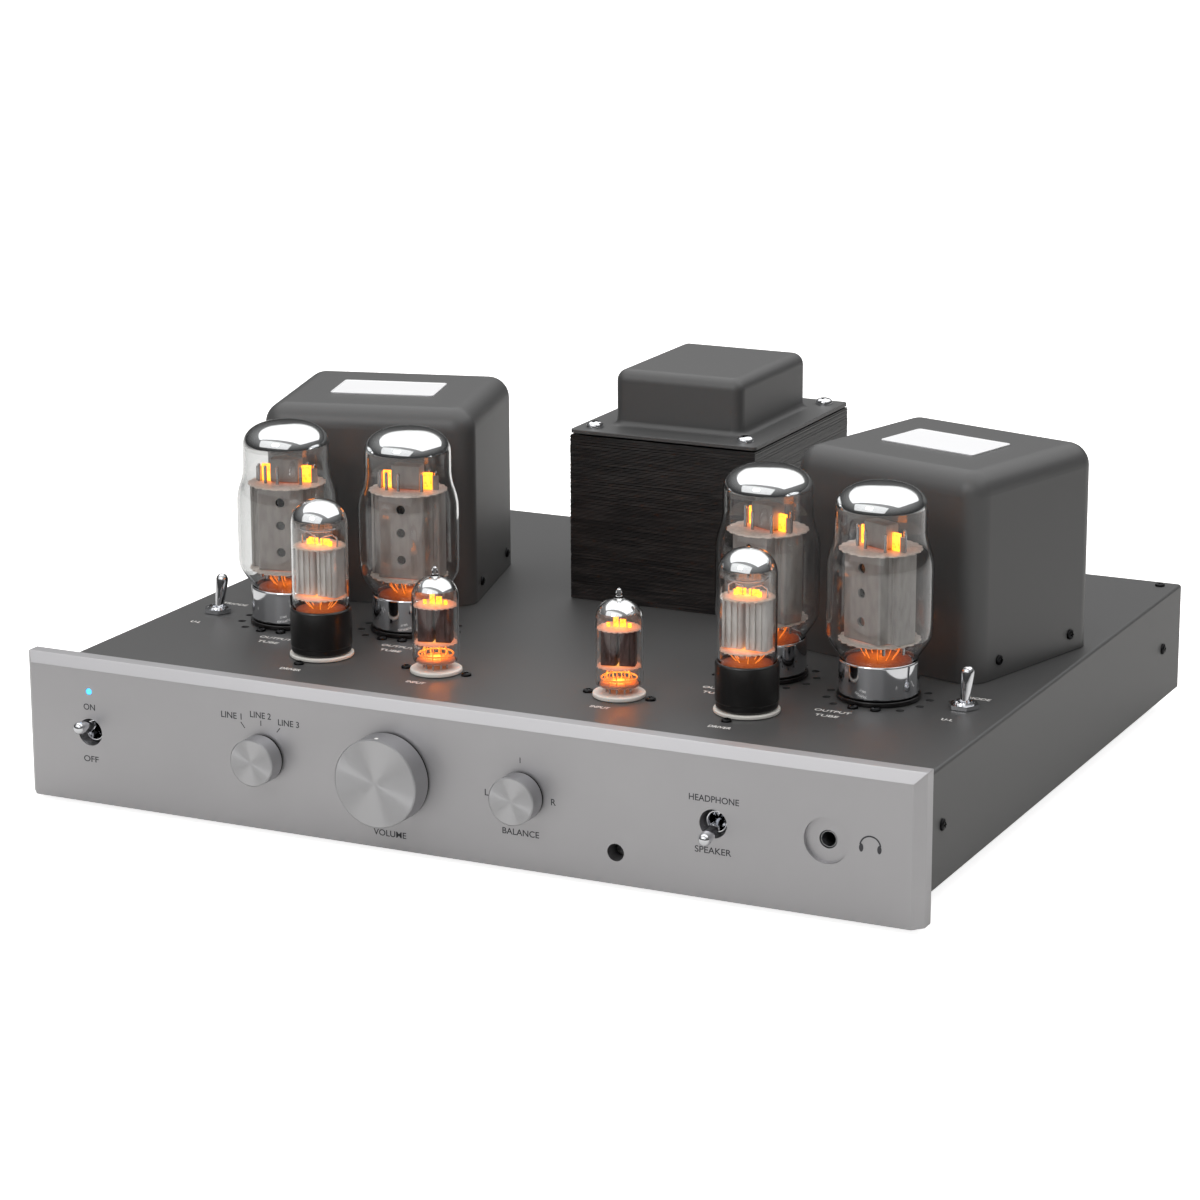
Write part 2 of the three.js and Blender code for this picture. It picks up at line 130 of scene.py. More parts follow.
def set_stops(ramp: bpy.types.Node, stops: Sequence[tuple[float, str]]) -> bpy.types.NodeSocket:
    """Give a colour ramp its stops.

    Args:
        ramp: A colour ramp node.
        stops: Places from 0 to 1 with their sRGB hex colours, in rising order.

    Returns:
        The ramp's colour output.
    """
    elements = ramp.color_ramp.elements
    while len(elements) < len(stops):
        elements.new(0.5)
    for element, (at, code) in zip(elements, stops):
        element.position = at
        element.color = srgb(code)
    return ramp.outputs["Color"]


# ---- finishes ---------------------------------------------------------------------------


@dataclass(frozen=True)
class Finish:
    """A surface finish, made once as a Blender material and shared by name."""

    name: str

    def dress(self, tree: bpy.types.NodeTree, shader: bpy.types.Node) -> None:
        """Fill the node tree around its Principled shader."""
        raise NotImplementedError

    def material(self) -> bpy.types.Material:
        """Make the Blender material on first use.

        Returns:
            The material, shared by every piece with this finish.
        """
        known = bpy.data.materials.get(self.name)
        if known is not None:
            return known
        made = bpy.data.materials.new(self.name)
        made.use_nodes = True
        tree = made.node_tree
        tree.nodes.clear()
        shader = add_node(tree, "ShaderNodeBsdfPrincipled")
        add_node(tree, "ShaderNodeOutputMaterial", links={"Surface": shader.outputs["BSDF"]})
        self.dress(tree, shader)
        return made


@dataclass(frozen=True)
class BlastedAluminium(Finish):
    """Aluminium plate, glass-bead blasted and clear anodised."""

    name: str = "blasted_anodised_aluminium"
    colour: str = "#bebdbf"
    roughness: float = 0.46
    bead: float = 0.55

    def dress(self, tree: bpy.types.NodeTree, shader: bpy.types.Node) -> None:
        """Blasting leaves tiny dents that spread every highlight and sparkle faintly.

        The dents of real beads are about 0.15 mm; they are drawn coarser here, so that they show.

        Args:
            tree: The material's node tree.
            shader: Its Principled shader.
        """
        where = add_node(tree, "ShaderNodeTexCoord").outputs["Object"]
        dents = add_node(
            tree, "ShaderNodeTexNoise", {"Scale": per_mm(self.bead), "Detail": 2.0}, {"Vector": where}
        )
        clouds = add_node(
            tree, "ShaderNodeTexNoise", {"Scale": per_mm(60.0), "Detail": 3.0}, {"Vector": where}
        )
        bump = add_node(
            tree,
            "ShaderNodeBump",
            {"Strength": 0.22, "Distance": 0.02 * MM},
            {"Height": dents.outputs["Fac"]},
        )
        rough = add_node(
            tree,
            "ShaderNodeMapRange",
            {
                "From Min": 0.3,
                "From Max": 0.7,
                "To Min": self.roughness - 0.03,
                "To Max": self.roughness + 0.05,
            },
            {"Value": clouds.outputs["Fac"]},
        )
        set_up(
            shader,
            {"Base Color": srgb(self.colour), "Metallic": 1.0},
            {"Roughness": rough.outputs["Result"], "Normal": bump.outputs["Normal"]},
        )


@dataclass(frozen=True)
class TurnedAluminium(Finish):
    """Solid aluminium faced on a lathe, clear anodised. The piece turns about its own Z."""

    name: str = "turned_aluminium"
    colour: str = "#bfbfc1"
    roughness: float = 0.34
    anisotropy: float = 0.98
    groove: float = 0.5

    def dress(self, tree: bpy.types.NodeTree, shader: bpy.types.Node) -> None:
        """The tool's circular lines stretch highlights into bright rays from the centre.

        The feed of a finishing cut is about 0.1 mm; the lines are drawn coarser, so that they show.

        Args:
            tree: The material's node tree.
            shader: Its Principled shader.
        """
        where = add_node(tree, "ShaderNodeTexCoord").outputs["Object"]
        rings = add_node(
            tree,
            "ShaderNodeTexWave",
            {
                "wave_type": "RINGS",
                "rings_direction": "Z",
                "Scale": per_mm(self.groove) / 20,
                "Distortion": 0.4,
                "Detail": 1.0,
            },
            {"Vector": where},
        )
        bump = add_node(
            tree,
            "ShaderNodeBump",
            {"Strength": 0.1, "Distance": 0.01 * MM},
            {"Height": rings.outputs["Fac"]},
        )
        around = add_node(tree, "ShaderNodeTangent", {"direction_type": "RADIAL", "axis": "Z"})
        set_up(
            shader,
            {
                "Base Color": srgb(self.colour),
                "Metallic": 1.0,
                "Roughness": self.roughness,
                "Anisotropic": self.anisotropy,
            },
            {"Normal": bump.outputs["Normal"], "Tangent": around.outputs["Tangent"]},
        )


@dataclass(frozen=True)
class PowderCoat(Finish):
    """Baked polyester powder coat on steel sheet."""

    name: str = "black_powder_coat"
    colour: str = "#0f0e0e"
    roughness: float = 0.38
    grain: float = 0.7
    depth: float = 0.012

    def dress(self, tree: bpy.types.NodeTree, shader: bpy.types.Node) -> None:
        """The coat flows to a faint orange peel, so broad highlights stay soft and slightly broken.

        Real grains are 0.2 to 0.4 mm and drawn at 0.7 mm, so that they show.

        Args:
            tree: The material's node tree.
            shader: Its Principled shader.
        """
        where = add_node(tree, "ShaderNodeTexCoord").outputs["Object"]
        peel = add_node(
            tree, "ShaderNodeTexNoise", {"Scale": per_mm(self.grain), "Detail": 3.0}, {"Vector": where}
        )
        wear = add_node(
            tree, "ShaderNodeTexNoise", {"Scale": per_mm(35.0), "Detail": 4.0}, {"Vector": where}
        )
        bump = add_node(
            tree,
            "ShaderNodeBump",
            {"Strength": 0.35, "Distance": self.depth * MM},
            {"Height": peel.outputs["Fac"]},
        )
        rough = add_node(
            tree,
            "ShaderNodeMapRange",
            {
                "From Min": 0.3,
                "From Max": 0.7,
                "To Min": self.roughness - 0.04,
                "To Max": self.roughness + 0.05,
            },
            {"Value": wear.outputs["Fac"]},
        )
        set_up(
            shader,
            {"Base Color": srgb(self.colour), "Specular IOR Level": 0.35},
            {"Roughness": rough.outputs["Result"], "Normal": bump.outputs["Normal"]},
        )


@dataclass(frozen=True)
class LacqueredLaminations(Finish):
    """Stamped silicon-steel sheets, stacked, bolted and dipped in black lacquer."""

    name: str = "lacquered_laminations"
    colour: str = "#121213"
    painted_edge_highlight: str = "#373534"
    sheet: float = 0.7

    def dress(self, tree: bpy.types.NodeTree, shader: bpy.types.Node) -> None:
        """Each sheet's edge catches the light on its own; the fine level lines that this gives are painted
        in as a lighter colour, a painted highlight, with a bump along them.

        Args:
            tree: The material's node tree.
            shader: Its Principled shader.
        """
        where = add_node(tree, "ShaderNodeTexCoord").outputs["Object"]
        flat = add_node(tree, "ShaderNodeMapping", {"Scale": (0.04, 0.04, 1.0)}, {"Vector": where})
        lines = add_node(
            tree,
            "ShaderNodeTexNoise",
            {"Scale": per_mm(self.sheet), "Detail": 1.0},
            {"Vector": flat.outputs["Vector"]},
        )
        tint = add_node(tree, "ShaderNodeValToRGB", links={"Fac": lines.outputs["Fac"]})
        # painted highlight: lighter lines in the colour for the light that the sheets' edges catch
        colour = set_stops(tint, [(0.42, self.colour), (0.7, self.painted_edge_highlight)])
        bump = add_node(
            tree,
            "ShaderNodeBump",
            {"Strength": 0.5, "Distance": 0.05 * MM},
            {"Height": lines.outputs["Fac"]},
        )
        set_up(shader, {"Roughness": 0.38}, {"Base Color": colour, "Normal": bump.outputs["Normal"]})


@dataclass(frozen=True)
class Plated(Finish):
    """Metal polished and plated bright, such as chrome, nickel or a gold flash."""

    name: str = "bright_chrome"
    colour: str = "#e2e3e6"
    roughness: float = 0.05

    def dress(self, tree: bpy.types.NodeTree, shader: bpy.types.Node) -> None:
        """A mirror with hair-fine polishing marks that only dull its reflections a little.

        Args:
            tree: The material's node tree.
            shader: Its Principled shader.
        """
        where = add_node(tree, "ShaderNodeTexCoord").outputs["Object"]
        haze = add_node(
            tree, "ShaderNodeTexNoise", {"Scale": per_mm(4.0), "Detail": 5.0}, {"Vector": where}
        )
        rough = add_node(
            tree,
            "ShaderNodeMapRange",
            {"From Min": 0.35, "From Max": 0.75, "To Min": self.roughness, "To Max": self.roughness + 0.05},
            {"Value": haze.outputs["Fac"]},
        )
        set_up(
            shader,
            {"Base Color": srgb(self.colour), "Metallic": 1.0},
            {"Roughness": rough.outputs["Result"]},
        )


@dataclass(frozen=True)
class BulbGlass(Finish):
    """Blown soda-lime glass, clear and thin."""

    name: str = "bulb_glass"
    colour: str = "#fbfcfc"

    def dress(self, tree: bpy.types.NodeTree, shader: bpy.types.Node) -> None:
        """Clear walls that show by their reflections and darker edges; lamps shine through them.

        Args:
            tree: The material's node tree.
            shader: Its Principled shader.
        """
        where = add_node(tree, "ShaderNodeTexCoord").outputs["Object"]
        ripple = add_node(
            tree, "ShaderNodeTexNoise", {"Scale": per_mm(14.0), "Detail": 1.0}, {"Vector": where}
        )
        bump = add_node(
            tree,
            "ShaderNodeBump",
            {"Strength": 0.12, "Distance": 0.15 * MM},
            {"Height": ripple.outputs["Fac"]},
        )
        set_up(
            shader,
            {"Base Color": srgb(self.colour), "Roughness": 0.0, "IOR": 1.47, "Transmission Weight": 1.0},
            {"Normal": bump.outputs["Normal"]},
        )
        open_way = add_node(tree, "ShaderNodeBsdfTransparent", {"Color": (0.97, 0.97, 0.97, 1.0)})
        path = add_node(tree, "ShaderNodeLightPath")
        mixed = add_node(
            tree,
            "ShaderNodeMixShader",
            links={
                0: path.outputs["Is Shadow Ray"], 1: shader.outputs["BSDF"], 2: open_way.outputs["BSDF"]
            },
        )
        out = next(n for n in tree.nodes if n.type == "OUTPUT_MATERIAL")
        tree.links.new(mixed.outputs["Shader"], out.inputs["Surface"])


@dataclass(frozen=True)
class GetterFlash(Finish):
    """Barium flashed onto the inside of the dome when the tube was sealed.

    Attributes:
        edge: Height of the mirror's lower edge in the piece's own frame, in millimetres.
        fade: How far the brownish haze reaches below that edge.
    """

    edge: float
    fade: float

    def dress(self, tree: bpy.types.NodeTree, shader: bpy.types.Node) -> None:
        """A mirror that thins out to grey smoke at its lower edge.

        Args:
            tree: The material's node tree.
            shader: Its Principled shader.
        """
        where = add_node(tree, "ShaderNodeTexCoord").outputs["Object"]
        height = add_node(tree, "ShaderNodeSeparateXYZ", links={"Vector": where}).outputs["Z"]
        share = add_node(
            tree,
            "ShaderNodeMapRange",
            {"From Min": (self.edge - self.fade) * MM, "From Max": (self.edge + 1.2) * MM},
            {"Value": height},
        ).outputs["Result"]
        cover = add_node(tree, "ShaderNodeValToRGB", links={"Fac": share})
        alpha = set_stops(
            cover, [(0.0, "#000000"), (0.12, "#6a6a6a"), (0.8, "#7c7c7c"), (0.86, "#ffffff")]
        )
        tint = add_node(tree, "ShaderNodeValToRGB", links={"Fac": share})
        colour = set_stops(tint, [(0.0, "#b9b3ad"), (0.82, "#a29c96"), (0.88, "#e9e9ea")])
        rough = add_node(
            tree,
            "ShaderNodeMapRange",
            {"From Min": 0.8, "From Max": 0.88, "To Min": 0.5, "To Max": 0.04},
            {"Value": share},
        )
        set_up(
            shader,
            {"Metallic": 1.0},
            {"Base Color": colour, "Alpha": alpha, "Roughness": rough.outputs["Result"]},
        )


@dataclass(frozen=True)
class PaintedHeaterGlow(Finish):
    """A piece near the heaters, no lamp itself, given painted light: an orange glow from its middle
    outwards that stands in for the heaters' light on it.

    Attributes:
        cold: Colour of the piece itself.
        near: Painted glow colour next to the heater.
        far: Painted glow colour at the outside.
        reach: Distance from the axis where the painted glow has faded, in millimetres.
        strength: Strength of the painted glow.
        mottling: Colour of its blotches.
        roughness: Roughness of the surface.
    """

    cold: str
    near: str
    far: str
    reach: float
    strength: float
    mottling: str = "#8d8178"
    roughness: float = 0.5

    def dress(self, tree: bpy.types.NodeTree, shader: bpy.types.Node) -> None:
        """Painted heater light runs as emission from yellow at the cathode to dull orange, over a lightly
        mottled skin.

        Args:
            tree: The material's node tree.
            shader: Its Principled shader.
        """
        where = add_node(tree, "ShaderNodeTexCoord").outputs["Object"]
        level = add_node(tree, "ShaderNodeMapping", {"Scale": (1.0, 1.0, 0.15)}, {"Vector": where})
        away = add_node(
            tree, "ShaderNodeVectorMath", {"operation": "LENGTH"}, {0: level.outputs["Vector"]}
        ).outputs["Value"]
        share = add_node(
            tree, "ShaderNodeMapRange", {"From Min": 0.0, "From Max": self.reach * MM}, {"Value": away}
        ).outputs["Result"]
        # painted light: the heaters' glow is drawn as emission on a piece that is no lamp
        heat = add_node(tree, "ShaderNodeValToRGB", links={"Fac": share})
        glow = set_stops(heat, [(0.0, self.near), (0.55, self.far), (1.0, "#000000")])
        mottle = add_node(
            tree, "ShaderNodeTexNoise", {"Scale": per_mm(1.6), "Detail": 3.0}, {"Vector": where}
        )
        amount = add_node(
            tree,
            "ShaderNodeMapRange",
            {"From Min": 0.3, "From Max": 0.8, "To Min": 0.0, "To Max": 0.5},
            {"Value": mottle.outputs["Fac"]},
        )
        skin = add_node(
            tree,
            "ShaderNodeMix",
            {"data_type": "RGBA", 6: srgb(self.cold), 7: srgb(self.mottling)},
            {"Factor": amount.outputs["Result"]},
        )
        set_up(
            shader,
            {"Roughness": self.roughness, "Emission Strength": self.strength},
            {"Base Color": skin.outputs[2], "Emission Color": glow},
        )


@dataclass(frozen=True)
class CarbonisedNickel(Finish):
    """Nickel plates blackened with carbon to shed heat, seen through glass as soft grey."""

    name: str = "carbonised_nickel"
    colour: str = "#a5a09c"
    shade: str = "#8f8a86"
    roughness: float = 0.5

    def dress(self, tree: bpy.types.NodeTree, shader: bpy.types.Node) -> None:
        """Dull grey metal with faint upright rolling marks and darker blotches.

        Args:
            tree: The material's node tree.
            shader: Its Principled shader.
        """
        where = add_node(tree, "ShaderNodeTexCoord").outputs["Object"]
        tall = add_node(tree, "ShaderNodeMapping", {"Scale": (1.0, 1.0, 0.3)}, {"Vector": where})
        marks = add_node(
            tree,
            "ShaderNodeTexNoise",
            {"Scale": per_mm(2.5), "Detail": 4.0},
            {"Vector": tall.outputs["Vector"]},
        )
        tint = add_node(tree, "ShaderNodeValToRGB", links={"Fac": marks.outputs["Fac"]})
        colour = set_stops(tint, [(0.2, self.shade), (0.6, self.colour)])
        bump = add_node(
            tree,
            "ShaderNodeBump",
            {"Strength": 0.25, "Distance": 0.04 * MM},
            {"Height": marks.outputs["Fac"]},
        )
        set_up(
            shader,
            {"Metallic": 0.35, "Roughness": self.roughness},
            {"Base Color": colour, "Normal": bump.outputs["Normal"]},
        )


@dataclass(frozen=True)
class Moulded(Finish):
    """Moulded or cast material with a fine skin: phenolic, ceramic, rubber, plastic or pitch.

    Attributes:
        colour: Its colour.
        roughness: Its roughness.
        coat: Weight of a glossy skin.
        grain: Size of the skin's texture in millimetres.
        relief: Depth of that texture in millimetres.
    """

    colour: str
    roughness: float
    coat: float
    grain: float
    relief: float

    def dress(self, tree: bpy.types.NodeTree, shader: bpy.types.Node) -> None:
        """An even body colour whose skin breaks the highlight a little, as mould texture does.

        Args:
            tree: The material's node tree.
            shader: Its Principled shader.
        """
        where = add_node(tree, "ShaderNodeTexCoord").outputs["Object"]
        skin = add_node(
            tree, "ShaderNodeTexNoise", {"Scale": per_mm(self.grain), "Detail": 3.0}, {"Vector": where}
        )
        bump = add_node(
            tree,
            "ShaderNodeBump",
            {"Strength": 0.3, "Distance": self.relief * MM},
            {"Height": skin.outputs["Fac"]},
        )
        rough = add_node(
            tree,
            "ShaderNodeMapRange",
            {
                "From Min": 0.3,
                "From Max": 0.7,
                "To Min": self.roughness * 0.9,
                "To Max": self.roughness * 1.1,
            },
            {"Value": skin.outputs["Fac"]},
        )
        set_up(
            shader,
            {"Base Color": srgb(self.colour), "Coat Weight": self.coat, "Coat Roughness": 0.12},
            {"Roughness": rough.outputs["Result"], "Normal": bump.outputs["Normal"]},
        )


@dataclass(frozen=True)
class Lit(Finish):
    """A surface that gives light of its own: a hot heater or a lamp's lens."""

    name: str = "hot_cathode"
    colour: str = "#ff8a1e"
    strength: float = 4.2

    def dress(self, tree: bpy.types.NodeTree, shader: bpy.types.Node) -> None:
        """Bright, slightly uneven light over a dull skin.

        Args:
            tree: The material's node tree.
            shader: Its Principled shader.
        """
        where = add_node(tree, "ShaderNodeTexCoord").outputs["Object"]
        flicker = add_node(
            tree, "ShaderNodeTexNoise", {"Scale": per_mm(1.5), "Detail": 2.0}, {"Vector": where}
        )
        power = add_node(
            tree,
            "ShaderNodeMapRange",
            {
                "From Min": 0.3,
                "From Max": 0.7,
                "To Min": self.strength * 0.7,
                "To Max": self.strength * 1.3,
            },
            {"Value": flicker.outputs["Fac"]},
        )
        set_up(
            shader,
            {"Base Color": srgb("#3a3029"), "Roughness": 0.5, "Emission Color": srgb(self.colour)},
            {"Emission Strength": power.outputs["Result"]},
        )


@dataclass(frozen=True)
class StudioPaper(Finish):
    """Matt white background paper under strong light."""

    name: str = "studio_paper"
    colour: str = "#e8e7e5"
    lift: float = 0.85

    def dress(self, tree: bpy.types.NodeTree, shader: bpy.types.Node) -> None:
        """Pure white that keeps only the softest shadow; its fibres don't show at this distance.

        Args:
            tree: The material's node tree.
            shader: Its Principled shader.
        """
        where = add_node(tree, "ShaderNodeTexCoord").outputs["Object"]
        fibre = add_node(
            tree, "ShaderNodeTexNoise", {"Scale": per_mm(2.0), "Detail": 2.0}, {"Vector": where}
        )
        bump = add_node(
            tree,
            "ShaderNodeBump",
            {"Strength": 0.05, "Distance": 0.05 * MM},
            {"Height": fibre.outputs["Fac"]},
        )
        set_up(
            shader,
            {"Base Color": srgb(self.colour), "Roughness": 0.9, "Specular IOR Level": 0.0},
            {"Normal": bump.outputs["Normal"]},
        )
        path = add_node(tree, "ShaderNodeLightPath")
        lifted = add_node(
            tree,
            "ShaderNodeMath",
            {"operation": "MULTIPLY", 1: self.lift},
            {0: path.outputs["Is Camera Ray"]},
        )
        set_up(
            shader, {"Emission Color": srgb("#ffffff")}, {"Emission Strength": lifted.outputs["Value"]}
        )


class Stock(Enum):
    """The finishes that the amplifier's pieces share."""

    PANEL = BlastedAluminium()
    PLATE = BlastedAluminium("satin_nameplate", "#f4f4f5", 0.62, 0.8)
    KNOB = TurnedAluminium()
    COAT = PowderCoat()
    LAMINATIONS = LacqueredLaminations()
    CHROME = Plated()
    STEEL = Plated("zinc_plated_steel", "#b9b9bb", 0.22)
    BLACKED_STEEL = Plated("blackened_steel", "#2a2a2b", 0.32)
    GOLD = Plated("gold_flash", "#d8b063", 0.14)
    GLASS = BulbGlass()
    ANODE = CarbonisedNickel()
    DRIVER_ANODE = CarbonisedNickel("matt_nickel_plate", "#dcd8d4", "#c0bab5", 0.45)
    DARK_ANODE = CarbonisedNickel("dark_carbonised_nickel", "#5d4a47", "#3c2f2d", 0.5)
    PHENOLIC = Moulded("black_phenolic", "#0e0c0c", 0.34, 0.25, 1.2, 0.01)
    CERAMIC = Moulded("steatite_ceramic", "#efece5", 0.45, 0.1, 0.6, 0.015)
    RUBBER = Moulded("moulded_rubber", "#141414", 0.8, 0.0, 0.7, 0.03)
    PLASTIC = Moulded("moulded_nylon", "#161617", 0.48, 0.0, 0.8, 0.015)
    PITCH = Moulded("potting_pitch", "#120f0e", 0.3, 0.2, 6.0, 0.2)
    PAPER = Moulded("varnished_coil_paper", "#8a5a2c", 0.5, 0.15, 2.0, 0.05)
    RED_RING = Moulded("red_moulded_ring", "#9c1b17", 0.4, 0.1, 0.8, 0.01)
    WHITE_INK = Moulded("white_screen_ink", "#f2f0ec", 0.6, 0.0, 0.5, 0.005)
    GREY_INK = Moulded("grey_screen_ink", "#3f3f43", 0.6, 0.0, 0.5, 0.005)
    DARK_WINDOW = Moulded("dark_filter_window", "#0b0708", 0.12, 0.6, 3.0, 0.002)


HOT = Lit()
# lead wires with painted heater glow: emission for the heaters' light, though the wires are no lamp
LIT_LEADS = PaintedHeaterGlow("lit_leads", "#6e5545", "#ff9a3a", "#e8641a", 26.0, 1.1)


# ---- mesh helpers -----------------------------------------------------------------------


def arc(centre: Place, radius: float, start: float, end: float, steps: int) -> list[tuple[float, float]]:
    """Points of an arc in a plane, angles in degrees."""
    angles = [math.radians(start + (end - start) * i / steps) for i in range(steps + 1)]
    return [(centre[0] + radius * math.cos(a), centre[1] + radius * math.sin(a)) for a in angles]


def soften(points: Profile, radius: float | Sequence[float], steps: int = 4) -> list[tuple[float, float]]:
    """Round the inner corners of an open outline.

    Args:
        points: The outline's corners.
        radius: Distance from each corner where its curve starts, one number or one per corner.
        steps: Pieces in each curve.

    Returns:
        The outline with each corner drawn as a short curve.
    """
    corners = [Vector(p) for p in points]
    reach = [radius] * len(corners) if isinstance(radius, (int, float)) else list(radius)
    smooth = [tuple(corners[0])]
    for before, here, after, wanted in zip(corners, corners[1:], corners[2:], reach[1:]):
        start = here + (before - here).normalized() * min(wanted, (before - here).length * 0.49)
        end = here + (after - here).normalized() * min(wanted, (after - here).length * 0.49)
        if wanted <= 0:
            smooth.append(tuple(here))
            continue
        for i in range(steps + 1):
            t = i / steps
            smooth.append(tuple(start * (1 - t) ** 2 + here * 2 * t * (1 - t) + end * t * t))
    smooth.append(tuple(corners[-1]))
    return smooth


def soften_path(points: Sequence[Place], steps: int = 8) -> list[Vector]:
    """Draw one smooth curve that starts and ends with a path of four points.

    Args:
        points: Start, two points that pull the curve, and end.
        steps: Pieces in the curve.

    Returns:
        Points along a Bezier curve.
    """
    a, b, c, d = (Vector(p) for p in points)
    curve = []
    for i in range(steps + 1):
        t = i / steps
        u = 1 - t
        curve.append(a * u**3 + b * 3 * u * u * t + c * 3 * u * t * t + d * t**3)
    return curve


def dome(
    radius: float, low: float, high: float, squareness: float, steps: int = 12
) -> list[tuple[float, float]]:
    """Profile of a dome that closes on the axis.

    Args:
        radius: Radius at the dome's foot.
        low: Height of the foot.
        high: Height of the top.
        squareness: 2 for an ellipse, more for a flatter top.
        steps: Pieces in the curve.

    Returns:
        Radius and height pairs, from the foot to the axis.
    """
    points = []
    for i in range(steps + 1):
        angle = math.pi / 2 * i / steps
        share = 2 / squareness
        points.append((radius * math.cos(angle) ** share, low + (high - low) * math.sin(angle) ** share))
    points[-1] = (0.0, high)
    return points


def rounded_ring(half_x: float, half_y: float, radius: float, z: float, steps: int = 6) -> list[tuple]:
    """Lay out a rounded rectangle, anticlockwise from above.

    Args:
        half_x: Half its width.
        half_y: Half its depth.
        radius: Radius of its corners.
        z: Its height.
        steps: Pieces in each corner.

    Returns:
        The points.
    """
    ring = []
    for quarter, (sx, sy) in enumerate(((1, 1), (-1, 1), (-1, -1), (1, -1))):
        centre = (sx * (half_x - radius), sy * (half_y - radius))
        ring += [(x, y, z) for x, y in arc(centre, radius, quarter * 90, quarter * 90 + 90, steps)]
    return ring


def circle(radius: float, z: float) -> list[tuple[float, float, float]]:
    """Points of a level circle round the axis."""
    return [(x, y, z) for x, y in arc((0, 0), radius, 0, 345, 23)]


def turn_z(degrees: float) -> Matrix:
    """Rotation about Z."""
    return Matrix.Rotation(math.radians(degrees), 4, "Z")


def shift(x: float, y: float, z: float) -> Matrix:
    """Translation."""
    return Matrix.Translation((x, y, z))


def facing(point: Place, direction: Place) -> Matrix:
    """Frame at a point, with Z along a direction and Y as upright as it can be.

    Args:
        point: The frame's origin.
        direction: Where its Z points.

    Returns:
        The frame.
    """
    z_axis = Vector(direction).normalized()
    up = Vector((0, 0, 1)) if abs(z_axis.z) < 0.9 else Vector((0, 1, 0))
    x_axis = up.cross(z_axis).normalized()
    turn = Matrix((x_axis, z_axis.cross(x_axis), z_axis)).transposed().to_4x4()
    return Matrix.Translation(Vector(point)) @ turn


